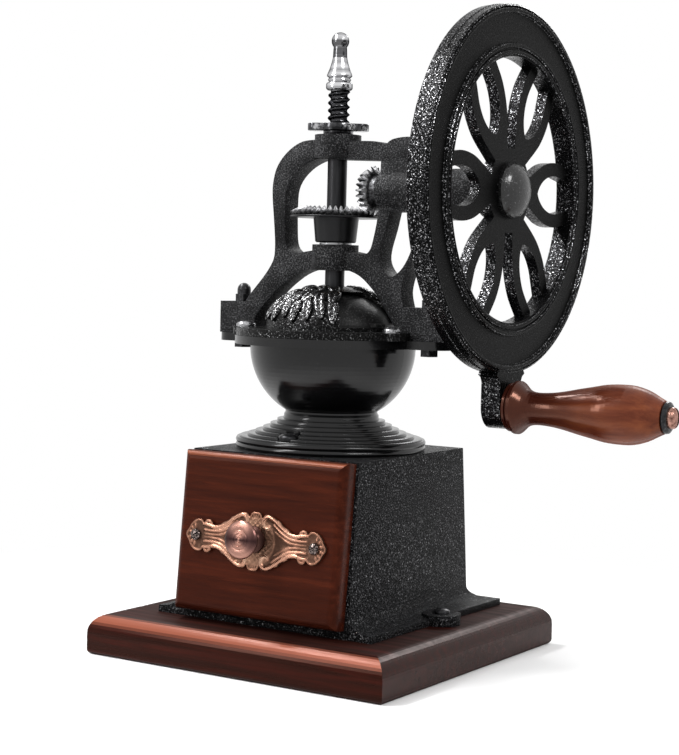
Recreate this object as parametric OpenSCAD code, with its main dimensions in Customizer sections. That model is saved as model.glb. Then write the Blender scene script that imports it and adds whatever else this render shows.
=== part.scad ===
// Hand-cranked coffee grinder: wooden base board, sheet box with a drawer,
// cast bowl with burrs, domed cover with a sliding hatch, cast bridge,
// bevel gears and a flywheel with a turned grip.
// Millimetres, +Z up, origin at the centre of the underside of the base board.
// The drawer opens towards -Y and the flywheel stands on the +X side.

/* [Base board] */
// Side length of the square base board
base_side = 145; // [136:1:170]
// Thickness of the base board
base_thick = 17; // [14:1:24]
// Radius of the rounded top edge of the board
base_edge_r = 8; // [3:0.5:10]

/* [Drawer box] */
// Height of the metal box from the board to its top face
box_h = 70; // [66:1:90]
// Width of the box across its top
box_top_w = 82; // [80:0.5:86]
// Depth of the box across its top
box_top_d = 85.5; // [84:0.5:90]
// Wall thickness of the box
box_wall = 4.5; // [3:0.25:5]
// Thickness of the top plate that carries the bowl
box_top_thick = 5; // [4:0.5:7]
// Angle by which the front of the box leans back
front_lean = 5.68; // [4:0.1:7]
// Thickness of the foot flange at its edge
flange_thick = 2.8; // [2:0.2:3.4]

/* [Drawer] */
// Thickness of the wooden drawer front
front_thick = 8; // [6:0.5:10]
// Width of the drawer front
front_w = 80; // [78:0.5:81]
// Rounding of the front edges of the drawer front
front_edge_r = 3.5; // [1:0.25:5]
// Thickness of the drawer sides, back and bottom
drawer_wall = 3.5; // [2.5:0.25:5]
// Height of the drawer tray
tray_h = 48; // [30:1:50]
// Diameter of the drawer knob
knob_d = 16.3; // [12:0.1:20]
// Thickness of the ornamental plate behind the knob
plate_thick = 1.6; // [1:0.1:2.5]

/* [Bowl and cover] */
// Height of the bowl casting from the box to the top of its flange
bowl_h = 47.8; // [46:0.2:50]
// Radius of the round foot of the bowl
foot_r = 40; // [39:0.25:41]
// Radius of the neck between foot and bowl
neck_r = 19.7; // [19.2:0.1:21]
// Wall thickness of the bowl
bowl_wall = 2.6; // [2:0.1:3.2]
// Radius of the flange round the mouth of the bowl
mouth_r = 42; // [41.5:0.1:43]
// Thickness of the cover plate
cover_thick = 3.2; // [2.6:0.1:4]
// Radius of the dome where it leaves the cover plate
dome_r = 29; // [28:0.1:30]
// Height of the dome above the cover plate
dome_h = 18.5; // [17:0.1:20]
// Wall thickness of the dome
dome_wall = 2; // [1.6:0.1:2.4]

/* [Bridge] */
// Height of the wheel axis above the flange of the bowl
axis_h = 61.9; // [60:0.1:64]
// Thickness of the bridge casting
bridge_thick = 10; // [8:0.5:11]
// Radius of the two upright shaft bosses
boss_r = 9.9; // [9:0.1:11]
// Distance of the bridge bolts from the shaft
bolt_x = 47.3; // [46:0.1:48.5]

/* [Shafts and gears] */
// Diameter of the upright shaft
shaft_d = 8.3; // [7.5:0.1:8.8]
// Diameter of the wheel shaft
wheel_shaft_d = 8; // [7:0.1:8.6]
// Teeth on the large gear
crown_teeth = 40; // [40:1:40]
// Teeth on the small gear
pinion_teeth = 20; // [20:1:20]
// Distance from the crossing of the axes to the outer ends of the teeth
cone_dist = 21.6; // [21.2:0.1:21.8]
// Length of the teeth
face_w = 5.2; // [4.5:0.1:5.6]
// Radius of the large gear's rim below the teeth
crown_r = 19.7; // [19.4:0.1:20]

/* [Burrs] */
// Outer radius of the fixed burr
burr_r = 17; // [16.6:0.1:17.4]
// Height of the burrs
burr_h = 12; // [10:0.5:12]
// Gap between the burrs at their lower edge
burr_gap = 0.4; // [0.3:0.05:0.6]

/* [Flywheel] */
// Outer radius of the flywheel
wheel_r = 73.6; // [70:0.2:76]
// Inner radius of the flywheel's rim
rim_inner_r = 53; // [51:0.2:55]
// Thickness of the rim
rim_thick = 8.9; // [7:0.1:10]
// Thickness of the spokes
spoke_thick = 4.5; // [3:0.1:6]
// Distance of the wheel's middle plane from the upright shaft
wheel_x = 81.35; // [80:0.1:84]
// Distance of the grip's axis below the wheel axis
crank_r = 86.7; // [85:0.1:89]

/* [Handle] */
// Length of the wooden grip
grip_len = 66; // [60:0.5:76]
// Largest radius of the grip
grip_r = 11.7; // [10:0.1:13]
// Diameter of the grip's bolt
grip_bolt_d = 5; // [4:0.1:6]

/* [Adjusting screw] */
// Outer diameter of the screw thread
thread_d = 9.5; // [9:0.1:9.8]
// Pitch of the screw thread
thread_pitch = 3.2; // [3:0.1:3.4]

/* [Hidden] */
$fn = 64;
fit = 0.05;
run_gap = 0.3;

// Heights of the main joints, from the underside of the board
z_box = base_thick;
z_top = z_box + box_h;
z_mouth = z_top + bowl_h;
z_cover = z_mouth + cover_thick;
z_axis = z_mouth + axis_h;

// Points along a circular arc
function arc(cx, cy, r, a0, a1, n) =
    [for (i = [0:n]) [cx + r * cos(a0 + (a1 - a0) * i / n), cy + r * sin(a0 + (a1 - a0) * i / n)]];

// Points along an elliptical arc
function oval(cx, cy, rx, ry, a0, a1, n) =
    [for (i = [0:n]) [cx + rx * cos(a0 + (a1 - a0) * i / n), cy + ry * sin(a0 + (a1 - a0) * i / n)]];

// One point of a smooth curve between b and c, with neighbours a and d
function curve_pt(a, b, c, d, t) =
    0.5 * (2 * b + (c - a) * t + (2 * a - 5 * b + 4 * c - d) * t * t + (3 * b - a - 3 * c + d) * t * t * t);

// A smooth open curve through the given points
function smooth(p, n = 4) = let (last = len(p) - 1) concat(
    [for (i = [0:last - 1], k = [0:n - 1])
        curve_pt(p[max(i - 1, 0)], p[i], p[i + 1], p[min(i + 2, last)], k / n)],
    [p[last]]);

function mirror_x(p) = [for (i = [len(p) - 1:-1:0]) [-p[i][0], p[i][1]]];
function mirror_y(p) = [for (i = [len(p) - 1:-1:0]) [p[i][0], -p[i][1]]];
function shift(p, dx, dy) = [for (q = p) [q[0] + dx, q[1] + dy]];

// Solid whose outline in the XZ plane is extruded from y0 to y1
module plate_xz(y0, y1) {
    translate([0, y1, 0])
        rotate([90, 0, 0])
            linear_extrude(height = y1 - y0)
                children();
}

// Solid whose outline in the YZ plane is extruded from x0 to x1
module plate_yz(x0, x1) {
    translate([x0, 0, 0])
        rotate([90, 0, 90])
            linear_extrude(height = x1 - x0)
                children();
}

// Solid turned about a line parallel to X; the outline gives [distance along X, radius]
module turned_x(outline) {
    rotate([0, 90, 0])
        rotate_extrude()
            polygon([for (p = outline) [p[1], p[0]]]);
}

// Solid turned about the Z axis; the outline gives [radius, height]
module turned_z(outline) {
    rotate_extrude()
        polygon(outline);
}

// Cylinder along X from x0 to x1
module rod_x(r, x0, x1) {
    translate([x0, 0, 0])
        rotate([0, 90, 0])
            cylinder(h = x1 - x0, r = r);
}

// Closed tube or ridge swept through a list of rings with the same number of points
module swept(rings) {
    m = len(rings[0]);
    n = len(rings);
    sides = [for (i = [0:n - 2], j = [0:m - 1], half = [0:1])
        half == 0
            ? [i * m + j, i * m + (j + 1) % m, (i + 1) * m + (j + 1) % m]
            : [i * m + j, (i + 1) * m + (j + 1) % m, (i + 1) * m + j]];
    first = [for (j = [1:m - 2]) [0, j + 1, j]];
    final = [for (j = [1:m - 2]) [(n - 1) * m, (n - 1) * m + j, (n - 1) * m + j + 1]];
    polyhedron(points = [for (r = rings) each r], faces = concat(sides, first, final), convexity = 6);
}

// Slotted pan head with its slot, standing on z = 0
module pan_head(r, h, slot_turn = 0) {
    slot_w = 0.28 * r;
    difference() {
        turned_z(concat([[0, 0], [r, 0]], oval(0, 0.35 * h, r, 0.65 * h, 0, 90, 8)));
        rotate([0, 0, slot_turn])
            translate([-2 * r, -slot_w / 2, 0.55 * h])
                cube([4 * r, slot_w, h]);
    }
}

// Screw that stands on z = 0 with its shank pointing down
module pan_screw(head_r, head_h, shank_r, shank_len, slot_turn = 0) {
    pan_head(head_r, head_h, slot_turn);
    translate([0, 0, -shank_len])
        cylinder(h = shank_len, r = shank_r);
}

// Section: base board

box_bottom_w = 106;
ear_thick = 4.5;
screw_ear_x = box_bottom_w / 2 + 1;
screw_ear_y = 4.75;
wood_screw_r = 1.6;
wood_screw_len = 11;

module board_outline() {
    half = base_side / 2;
    low_r = 2;
    right = concat(
        arc(half - low_r, low_r, low_r, -90, 0, 4),
        arc(half - base_edge_r, base_thick - base_edge_r, base_edge_r, 0, 90, 10));
    polygon(concat(right, mirror_x(right)));
}

module base_board() {
    color("saddlebrown")
        difference() {
            intersection() {
                plate_xz(-base_side, base_side) board_outline();
                plate_yz(-base_side, base_side) board_outline();
            }
            for (side = [-1, 1])
                translate([side * screw_ear_x, screw_ear_y, base_thick + ear_thick - wood_screw_len])
                    cylinder(h = wood_screw_len, r = wood_screw_r);
        }
}

module base_screws() {
    color("dimgray")
        for (side = [-1, 1])
            translate([side * screw_ear_x, screw_ear_y, base_thick + ear_thick])
                pan_screw(3.5, 2.2, wood_screw_r, wood_screw_len, 40 * side);
}

// Section: metal box under the bowl

box_bottom_back = 59.5;
side_draft = 0.8;
cove_h = 8.7;
floor_thick = 3.2;
ear_r = 8;
top_hole_r = burr_r - 1;
front_top_y = -box_top_d / 2 + 0.45;
back_top_y = box_top_d / 2 + 0.45;
back_low_y = back_top_y + 5.2;

// Y of the leaning front face of the box at a height
function front_y(z) = front_top_y - (z_top - z) * tan(front_lean);

// Curve that sweeps from the wall out to the edge of the foot flange
function cove(wall_y, edge_y) =
    oval(edge_y, z_box + cove_h, edge_y - wall_y, cove_h - flange_thick, -90, -180, 8);

module box_front_outline() {
    low_half = box_top_w / 2 + side_draft;
    right = concat(
        [[box_bottom_w / 2, z_box]],
        cove(low_half, box_bottom_w / 2),
        [[box_top_w / 2, z_top]]);
    polygon(concat(right, mirror_x(right)));
}

module box_side_outline() {
    polygon(concat(
        [[front_y(z_box), z_box], [box_bottom_back, z_box]],
        cove(back_low_y, box_bottom_back),
        [[back_top_y, z_top], [front_top_y, z_top]]));
}

module drawer_bay() {
    half = box_top_w / 2 - box_wall;
    floor_z = z_box + floor_thick;
    plate_yz(-half, half)
        polygon([
            [front_y(floor_z) - 5, floor_z],
            [back_top_y - box_wall, floor_z],
            [back_top_y - box_wall, z_top - box_top_thick],
            [front_y(z_top) - 5, z_top - box_top_thick]]);
}

module body_box() {
    color("darkslategray")
        difference() {
            union() {
                intersection() {
                    plate_xz(-box_top_d, box_top_d) box_front_outline();
                    plate_yz(-box_bottom_w, box_bottom_w) box_side_outline();
                }
                for (side = [-1, 1])
                    translate([side * screw_ear_x, screw_ear_y, z_box])
                        cylinder(h = ear_thick, r = ear_r);
            }
            drawer_bay();
            translate([0, 0, z_top - box_top_thick - 1])
                cylinder(h = box_top_thick + 2, r = top_hole_r);
            for (side = [-1, 1])
                translate([side * screw_ear_x, screw_ear_y, z_box - 1])
                    cylinder(h = ear_thick + 2, r = wood_screw_r);
            for (side = [-1, 1])
                translate([0, side * foot_screw_r, z_top - box_top_thick - 1])
                    cylinder(h = box_top_thick + 2, r = foot_shank_r);
        }
}

// Section: drawer

front_low_z = z_box + floor_thick + 0.4;
front_high_z = z_top - 0.5;
drawer_half = box_top_w / 2 - box_wall - 0.5;
drawer_low_z = z_box + floor_thick + run_gap;
drawer_back_y = back_top_y - box_wall - 1;
seat_gap = 0.2;
knob_z = z_box + 35.8;
knob_bolt_r = 2;

// Moves children into the frame of the leaning front face, with Y out of the face
// and Z up the face from the lower edge of the drawer front
module on_front() {
    translate([0, front_y(front_low_z) - seat_gap, front_low_z])
        rotate([-front_lean, 0, 0])
            children();
}

// Distance up the leaning face of a point at height z
function up_face(z) = (z - front_low_z) / cos(front_lean);

module front_top_outline() {
    half = front_w / 2;
    r = front_edge_r;
    right = concat(arc(half - r, -front_thick + r, r, -90, 0, 8), [[half, 0]]);
    polygon(concat(right, mirror_x(right)));
}

module drawer_front() {
    high = up_face(front_high_z);
    color("sienna")
        difference() {
            on_front()
                intersection() {
                    plate_yz(-front_w, front_w)
                        polygon(concat(
                            [[0, 0], [0, high]],
                            arc(-front_thick + front_edge_r, high - front_edge_r, front_edge_r, 90, 180, 8),
                            arc(-front_thick + front_edge_r, front_edge_r, front_edge_r, 180, 270, 8)));
                    linear_extrude(height = 2 * high, center = true) front_top_outline();
                }
            on_front()
                translate([0, 0, up_face(knob_z)])
                    rotate([90, 0, 0])
                        cylinder(h = 4 * front_thick, r = knob_bolt_r, center = true);
            escutcheon_screw_places()
                cylinder(h = 2 * plate_screw_len, r = plate_screw_r, center = true);
        }
}

module drawer_side(side) {
    inner = drawer_half - drawer_wall;
    high = drawer_low_z + tray_h;
    x0 = side > 0 ? inner : -drawer_half;
    color("burlywood")
        plate_yz(x0, x0 + drawer_wall)
            polygon([
                [front_y(drawer_low_z) - seat_gap, drawer_low_z],
                [drawer_back_y, drawer_low_z],
                [drawer_back_y, high],
                [front_y(high) - seat_gap, high]]);
}

module drawer_side_left() {
    drawer_side(-1);
}

module drawer_side_right() {
    drawer_side(1);
}

module drawer_back() {
    inner = drawer_half - drawer_wall;
    color("burlywood")
        translate([-inner, drawer_back_y - drawer_wall, drawer_low_z])
            cube([2 * inner, drawer_wall, tray_h]);
}

module drawer_bottom() {
    inner = drawer_half - drawer_wall;
    high = drawer_low_z + drawer_wall;
    color("tan")
        plate_yz(-inner, inner)
            polygon([
                [front_y(drawer_low_z) - seat_gap, drawer_low_z],
                [drawer_back_y - drawer_wall, drawer_low_z],
                [drawer_back_y - drawer_wall, high],
                [front_y(high) - seat_gap, high]]);
}

// Section: ornamental plate, knob and their screws

plate_screw_x = 29.2;
plate_screw_r = 1.2;
plate_screw_len = 6;
plate_disc_r = 10.2;

// Upper right quarter of the scrolled plate, from the crest to the tip
plate_quarter = [
    [0, 11.9], [1.8, 11.6], [3.2, 9.6], [4.6, 11], [6.6, 11.1], [8.4, 9.2], [11.2, 9.3],
    [13.4, 7.4], [16.2, 6], [19.4, 3.6], [21.4, 3.8], [22.6, 6.2], [24.6, 6.5], [25.8, 5],
    [27.6, 6.3], [30.2, 6], [32.2, 4.2], [33.2, 2.4], [34.5, 0]];

module plate_outline() {
    curve = smooth(plate_quarter, 3);
    last = len(curve) - 1;
    right = concat(curve, [for (i = [last - 1:-1:0]) [curve[i][0], -curve[i][1]]]);
    left = [for (i = [last * 2 - 1:-1:1]) [-right[i][0], right[i][1]]];
    polygon(concat(right, left));
}

// Repeats children at the two screws of the plate, on the face of the drawer front, pointing out
module escutcheon_screw_places() {
    for (side = [-1, 1])
        on_front()
            translate([side * plate_screw_x, -front_thick, up_face(knob_z - 0.8)])
                rotate([90, 0, 0])
                    children();
}

module escutcheon() {
    color("peru")
        difference() {
            on_front()
                translate([0, -front_thick, up_face(knob_z - 0.8)])
                    rotate([90, 0, 0]) {
                        linear_extrude(height = plate_thick) plate_outline();
                        translate([0, 0.8, 0])
                            cylinder(h = plate_thick + 0.8, r1 = plate_disc_r, r2 = plate_disc_r - 0.8);
                    }
            on_front()
                translate([0, 0, up_face(knob_z)])
                    rotate([90, 0, 0])
                        cylinder(h = 4 * front_thick, r = knob_bolt_r, center = true);
            escutcheon_screw_places()
                cylinder(h = 2 * plate_screw_len, r = plate_screw_r, center = true);
        }
}

module escutcheon_screws() {
    color("peru")
        escutcheon_screw_places()
            translate([0, 0, plate_thick])
                pan_screw(2.3, 1.5, plate_screw_r, plate_screw_len + plate_thick, 35);
}

module drawer_knob() {
    r = knob_d / 2;
    seat = plate_thick + 0.8;
    color("peru")
        on_front()
            translate([0, -front_thick, up_face(knob_z)])
                rotate([90, 0, 0])
                    difference() {
                        turned_z([
                            [0, seat], [5.6, seat], [5.6, seat + 1], [3.6, seat + 2],
                            [3.4, seat + 5.4], [r - 2.4, seat + 7], [r - 0.5, seat + 8.2],
                            [r, seat + 9.4], [r - 0.5, seat + 10.6], [r - 1.6, seat + 11.2],
                            [r - 2.6, seat + 10.9], [r - 3.4, seat + 11.8],
                            [r - 4.6, seat + 11.5], [2, seat + 12.6], [0, seat + 12.7]]);
                        cylinder(h = seat + 7, r = knob_bolt_r);
                    }
}

module knob_screw() {
    seat = plate_thick + 0.8;
    color("silver")
        on_front()
            translate([0, 0, up_face(knob_z)])
                rotate([-90, 0, 0])
                    pan_screw(4, 2.4, knob_bolt_r, front_thick + seat + 7, 20);
}

// Section: bowl with its stepped foot

foot_ring_h = 4.5;
step_count = 7;
foot_h = 15.5;
foot_screw_r = 32;
foot_shank_r = 2;
foot_seat_h = 5.6;
throat_r = 13;
bowl_curve_r = 32.4;
bowl_centre_r = 3;
bowl_centre_h = 44;
mouth_thick = 3.5;
ear_half_w = 8;
bolt_r = 2;

// Stairs from the foot's rim up to the neck
function foot_stair(i) = let (t = i / (step_count - 1)) [
    foot_r - 1 + (neck_r + 0.6 - foot_r + 1) * (1.12 * t - 0.12 * t * t),
    foot_ring_h + 0.6 + (foot_h - foot_ring_h - 1.5) * (0.66 * t + 0.34 * t * t)];

function foot_stairs() = [for (i = [0:step_count - 1], half = [0:1])
    let (p = foot_stair(i), below = i == 0 ? foot_ring_h : foot_stair(i - 1)[1])
        half == 0 ? [p[0], below] : p];

bowl_start = -acos((neck_r - bowl_centre_r) / bowl_curve_r);
inner_curve_r = bowl_curve_r - bowl_wall;
inner_start = -acos((throat_r - bowl_centre_r) / inner_curve_r);

module bowl_outline() {
    polygon(shift(concat(
        [[burr_r + fit, 0], [foot_r, 0], [foot_r, foot_ring_h]],
        foot_stairs(),
        [[neck_r, foot_h]],
        arc(bowl_centre_r, bowl_centre_h, bowl_curve_r, bowl_start, 0, 18),
        [[bowl_centre_r + bowl_curve_r, bowl_h - mouth_thick], [mouth_r, bowl_h - mouth_thick],
            [mouth_r, bowl_h], [bowl_centre_r + inner_curve_r + 0.4, bowl_h]],
        arc(bowl_centre_r, bowl_centre_h, inner_curve_r, 0, inner_start, 18),
        [[throat_r, burr_h], [burr_r + fit, burr_h]]), 0, z_top));
}

module hopper_bowl() {
    ear_end = bolt_x + 10 - ear_half_w;
    color("gray")
        difference() {
            union() {
                rotate_extrude()
                    bowl_outline();
                for (side = [-1, 1]) {
                    translate([side * ear_end, 0, z_mouth - mouth_thick])
                        cylinder(h = mouth_thick, r = ear_half_w);
                    translate([side > 0 ? mouth_r - 4 : -ear_end, -ear_half_w, z_mouth - mouth_thick])
                        cube([ear_end - mouth_r + 4, 2 * ear_half_w, mouth_thick]);
                }
            }
            for (side = [-1, 1]) {
                translate([0, side * foot_screw_r, z_top + foot_seat_h])
                    cylinder(h = 8, r = 4.7);
                translate([0, side * foot_screw_r, z_top - 1])
                    cylinder(h = 10, r = foot_shank_r);
                translate([side * bolt_x, 0, z_mouth - mouth_thick - 1])
                    cylinder(h = mouth_thick + 2, r = bolt_r);
            }
            cover_screw_places()
                translate([0, 0, -cover_thick - mouth_thick - 1])
                    cylinder(h = mouth_thick + 2, r = cover_shank_r);
        }
}

module foot_screws() {
    color("dimgray")
        for (side = [-1, 1])
            translate([0, side * foot_screw_r, z_top + foot_seat_h])
                pan_screw(4.3, 2.8, foot_shank_r, foot_seat_h + box_top_thick + 1.5, 25);
}

// Section: domed cover with its hatch

cover_r = mouth_r - 0.5;
cover_screw_x = 37;
cover_screw_y = 12.5;
cover_shank_r = 1.6;
cover_lobe_r = 5.5;
leg_left_inner_x = 38;
leg_right_inner_x = 33.4;
ledge_h = 2;
ledge_r = 23.8;
window_from = -52;
window_to = 12;
window_low = 1.6;
window_high = 16.2;
hatch_wall = 1.5;
hatch_lap = 12;
hatch_turn = 100;
tab_angle = -17;
tab_low = 1.9;
tab_h = 1.4;
shaft_hole_r = shaft_d / 2 + 0.5;

// Repeats children at the four screws on top of the cover plate
module cover_screw_places() {
    for (side_x = [-1, 1], side_y = [-1, 1])
        translate([side_x * cover_screw_x, side_y * cover_screw_y, z_cover])
            children();
}

// Outline of half a dome shell between two ellipses, as [radius, height]
function shell(r_out, h_out, wall) = concat(
    oval(0, 0, r_out, h_out, 0, 90, 20),
    oval(0, 0, r_out - wall, h_out - wall, 90, 0, 20));

// Wedge of a cylinder between two angles
module wedge(a0, a1, r, h) {
    linear_extrude(height = h)
        polygon(concat([[0, 0]], arc(0, 0, r, a0, a1, 12)));
}

module hopper_cover() {
    color("gray")
        difference() {
            union() {
                translate([0, 0, z_mouth])
                    difference() {
                        cylinder(h = cover_thick, r = cover_r);
                        translate([0, 0, -1])
                            cylinder(h = cover_thick + 2, r = ledge_r);
                        translate([0, 0, ledge_h])
                            cylinder(h = cover_thick, r = dome_r - dome_wall);
                    }
                cover_screw_places()
                    translate([0, 0, -cover_thick])
                        cylinder(h = cover_thick, r = cover_lobe_r);
                translate([0, 0, z_cover])
                    turned_z(shell(dome_r, dome_h, dome_wall));
            }
            translate([0, 0, z_cover])
                cylinder(h = dome_h + 2, r = shaft_hole_r);
            translate([0, 0, z_cover + window_low])
                wedge(window_from, window_to, dome_r + 5, window_high - window_low);
            translate([0, 0, z_cover + tab_low - run_gap])
                wedge(window_to - 2, tab_angle + hatch_turn + 9, dome_r + 5, tab_h + 2 * run_gap);
            cover_screw_places()
                translate([0, 0, -cover_thick - 1])
                    cylinder(h = cover_thick + 2, r = cover_shank_r);
            for (x = [leg_right_inner_x - 0.4, 0.4 - leg_left_inner_x - cover_r])
                translate([x, -bridge_thick / 2 - 0.5, z_mouth - 1])
                    cube([cover_r, bridge_thick + 1, cover_thick + 2]);
        }
}

module cover_screws() {
    color("dimgray")
        cover_screw_places()
            pan_screw(4.2, 2.6, cover_shank_r, cover_thick + mouth_thick, 30);
}

// The hatch slides round inside the dome, on the ledge of the cover plate
module hopper_hatch() {
    outer_r = dome_r - dome_wall - run_gap;
    outer_h = dome_h - dome_wall - run_gap;
    low = ledge_h - cover_thick + 0.1;
    color("gray")
        translate([0, 0, z_cover])
            intersection() {
                union() {
                    difference() {
                        turned_z(shell(outer_r, outer_h, hatch_wall));
                        cylinder(h = dome_h, r = shaft_hole_r + 1);
                    }
                    translate([0, 0, low])
                        difference() {
                            cylinder(h = 0.2 - low, r = outer_r);
                            translate([0, 0, -1])
                                cylinder(h = 4, r = outer_r - hatch_wall - 0.2);
                        }
                    rotate([0, 0, tab_angle])
                        translate([outer_r - 1.2, -2.5, tab_low])
                            cube([4.6, 5, tab_h]);
                }
                translate([0, 0, low - 1])
                    wedge(window_from - hatch_lap, window_to + hatch_lap, dome_r + 8, dome_h + 3);
            }
}

// Section: cast bridge over the bowl

// Height of the wheel axis in the hand-drawn outline of the bridge
drawn_axis_h = 61.9;
block_x = 56.4;
block_h = 13.7;
side_boss_r = 8.2;
barrel_r = 9;
side_boss_x = 23.4;
barrel_end_x = wheel_x - rim_thick / 2 - 4.9;
top_boss_low = 13.9;
top_boss_high = 23.6;
mid_boss_low = 28.2;
mid_boss_high = 39.1;
bush_wall = 2;

// Outer edge of the left side, from the top boss down to the foot block
bridge_left = [
    [-6, 83.5], [-9.5, 83.4], [-14.7, 82.8], [-19.8, 80.4], [-24.8, 76.2], [-28.2, 71], [-29.7, 64.6],
    [-29.7, 58.8], [-28.9, 51], [-28.1, 42.4], [-27.9, 37.4], [-28.4, 32.8], [-30.5, 28.8],
    [-33.9, 24.4], [-38, 19.9], [-41.6, 15.8], [-43, 13.7]];
// Arch over the dome, from the left foot to the right foot
bridge_arch = [
    [-38, 0], [-38, 6.2], [-34.4, 11.4], [-29.3, 16.6], [-23.3, 21.8], [-16.6, 26.2], [-9.8, 28.5],
    [0, 29.3], [8.3, 28.7], [15.4, 26.2], [21.2, 21.5], [26, 16.2], [30.4, 9.6], [33.4, 5], [34.6, 0]];
// Outer edge of the right side, from the foot block up the brace and over the lobe
bridge_right = [
    [37.2, 13.7], [35.9, 19.8], [37.2, 26.1], [39.1, 29.5], [43.6, 36], [48, 44.5], [50.6, 54],
    [52.4, 63], [52.4, 71], [49.6, 78.4], [44, 82.8], [37, 83.9], [29.9, 83], [26.6, 80.9],
    [24.6, 81.7], [20, 82.4], [8.8, 82.7]];
// Window beside the gears
window_left = [
    [0, 75.2], [-5, 75.4], [-9, 74.7], [-14.4, 72.2], [-19.4, 68], [-22.3, 63.1], [-23, 56.7], [-22.9, 46.8],
    [-22.3, 39.6], [-20.3, 36.4], [-16.8, 35.2], [-9.2, 36.4], [0, 36.8]];
window_right = [
    [0, 36.8], [8, 36.5], [16.6, 35.2], [20, 36.7], [21.8, 41.6], [23.8, 51.6], [24.2, 60], [24.4, 66],
    [24.6, 72.5], [24, 74.4], [18, 74.6], [0, 75.2]];
// Teardrop window between the post and the brace
teardrop = [
    [29.6, 53.2], [27.8, 45.8], [25.6, 38.5], [25, 33.4], [26.7, 29.3], [30.4, 26.1], [34, 27.7],
    [37.4, 31.5], [40.6, 38.2], [42, 46], [41, 53.2]];

function drawn(p) = [for (q = p) [q[0], z_mouth + q[1] * axis_h / drawn_axis_h]];

module bridge_outline() {
    block_z = z_mouth + block_h;
    difference() {
        polygon(concat(
            smooth(drawn(bridge_left), 3),
            [[-block_x, block_z], [-block_x, z_mouth]],
            smooth(drawn(bridge_arch), 3),
            [[block_x, z_mouth], [block_x, block_z]],
            smooth(drawn(bridge_right), 3)));
        polygon(concat(smooth(drawn(window_left), 3), smooth(drawn(window_right), 3)));
        polygon(smooth(drawn(teardrop), 3));
    }
}

module bridge() {
    half = bridge_thick / 2;
    bush_r = shaft_d / 2 + bush_wall;
    barrel_bush_r = wheel_shaft_d / 2 + bush_wall;
    color("dimgray")
        difference() {
            union() {
                plate_xz(-half, half) bridge_outline();
                translate([0, 0, z_mouth + mid_boss_low])
                    cylinder(h = mid_boss_high - mid_boss_low, r = boss_r);
                translate([0, 0, z_axis + top_boss_low])
                    cylinder(h = top_boss_high - top_boss_low, r = boss_r);
                translate([0, 0, z_axis]) {
                    rod_x(side_boss_r, side_boss_x, 46);
                    rod_x(barrel_r, 30, barrel_end_x);
                }
            }
            translate([0, 0, z_mouth + mid_boss_low - 1])
                cylinder(h = mid_boss_high - mid_boss_low + 2, r = bush_r);
            translate([0, 0, z_axis + top_boss_low - 1])
                cylinder(h = top_boss_high, r = shaft_d / 2 + fit);
            translate([0, 0, z_axis + top_boss_low + 1.7])
                cylinder(h = top_boss_high, r = thread_d / 2 + 0.1);
            translate([0, 0, z_axis])
                rod_x(wheel_shaft_d / 2 + 0.3, side_boss_x - 1, barrel_end_x + 1);
            translate([0, 0, z_axis]) {
                rod_x(barrel_bush_r, side_boss_x - 1, side_boss_x + wheel_bush_len);
                rod_x(barrel_bush_r, barrel_end_x - wheel_bush_len, barrel_end_x + 1);
            }
            for (side = [-1, 1])
                translate([side * bolt_x, 0, z_mouth - 1])
                    cylinder(h = block_h + 2, r = bolt_r);
        }
}

bolt_across = 7;
bolt_head_h = 2.9;
nut_hex_h = 3.2;
nut_h = 8.1;

module bridge_bolts() {
    color("dimgray")
        for (side = [-1, 1])
            translate([side * bolt_x, 0, z_mouth - mouth_thick - bolt_head_h]) {
                cylinder(h = bolt_head_h, r = bolt_across / 2 / cos(30), $fn = 6);
                cylinder(h = bolt_head_h + mouth_thick + block_h + 5, r = bolt_r);
            }
}

module bridge_acorn_nuts() {
    dome_rad = bolt_across / 2 - 0.5;
    color("black")
        for (side = [-1, 1])
            translate([side * bolt_x, 0, z_mouth + block_h])
                difference() {
                    union() {
                        cylinder(h = nut_hex_h, r = bolt_across / 2 / cos(30), $fn = 6);
                        turned_z(concat(
                            [[0, 1], [dome_rad, 1], [dome_rad, nut_h - dome_rad]],
                            arc(0, nut_h - dome_rad, dome_rad, 0, 90, 8)));
                    }
                    translate([0, 0, -1])
                        cylinder(h = 6, r = bolt_r);
                }
}

module shaft_bush() {
    color("goldenrod")
        translate([0, 0, z_mouth + mid_boss_low])
            difference() {
                cylinder(h = mid_boss_high - mid_boss_low, r = shaft_d / 2 + bush_wall);
                translate([0, 0, -1])
                    cylinder(h = mid_boss_high, r = shaft_d / 2 + fit);
            }
}

// Section: upright shaft with the large gear and the burrs

ball_r = 2.5;
ball_z = z_axis + 15.9;
shaft_top_z = ball_z - 1.2;
burr_z = z_top;
tail_r = 3.4;
tail_low_z = burr_z - 7.2;
washer_h = 1.6;
burr_nut_h = 4.2;
cone_low = 1;

module main_shaft() {
    color("gray")
        difference() {
            translate([0, 0, tail_low_z])
                union() {
                    cylinder(h = burr_z + burr_h + 1 - tail_low_z, r = tail_r);
                    translate([0, 0, burr_z + burr_h + 1 - tail_low_z])
                        cylinder(h = shaft_top_z - burr_z - burr_h - 1, r = shaft_d / 2);
                }
            translate([0, 0, ball_z])
                sphere(r = ball_r + fit);
            gear_pin_hole();
        }
}

// Cone angles of the bevel gears and their tooth proportions
crown_angle = atan(crown_teeth / pinion_teeth);
pinion_angle = 90 - crown_angle;
gear_module = 2 * cone_dist * sin(crown_angle) / crown_teeth;
tooth_share = 0.42;
press_angle = 20;
root_depth = 1.15;

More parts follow.
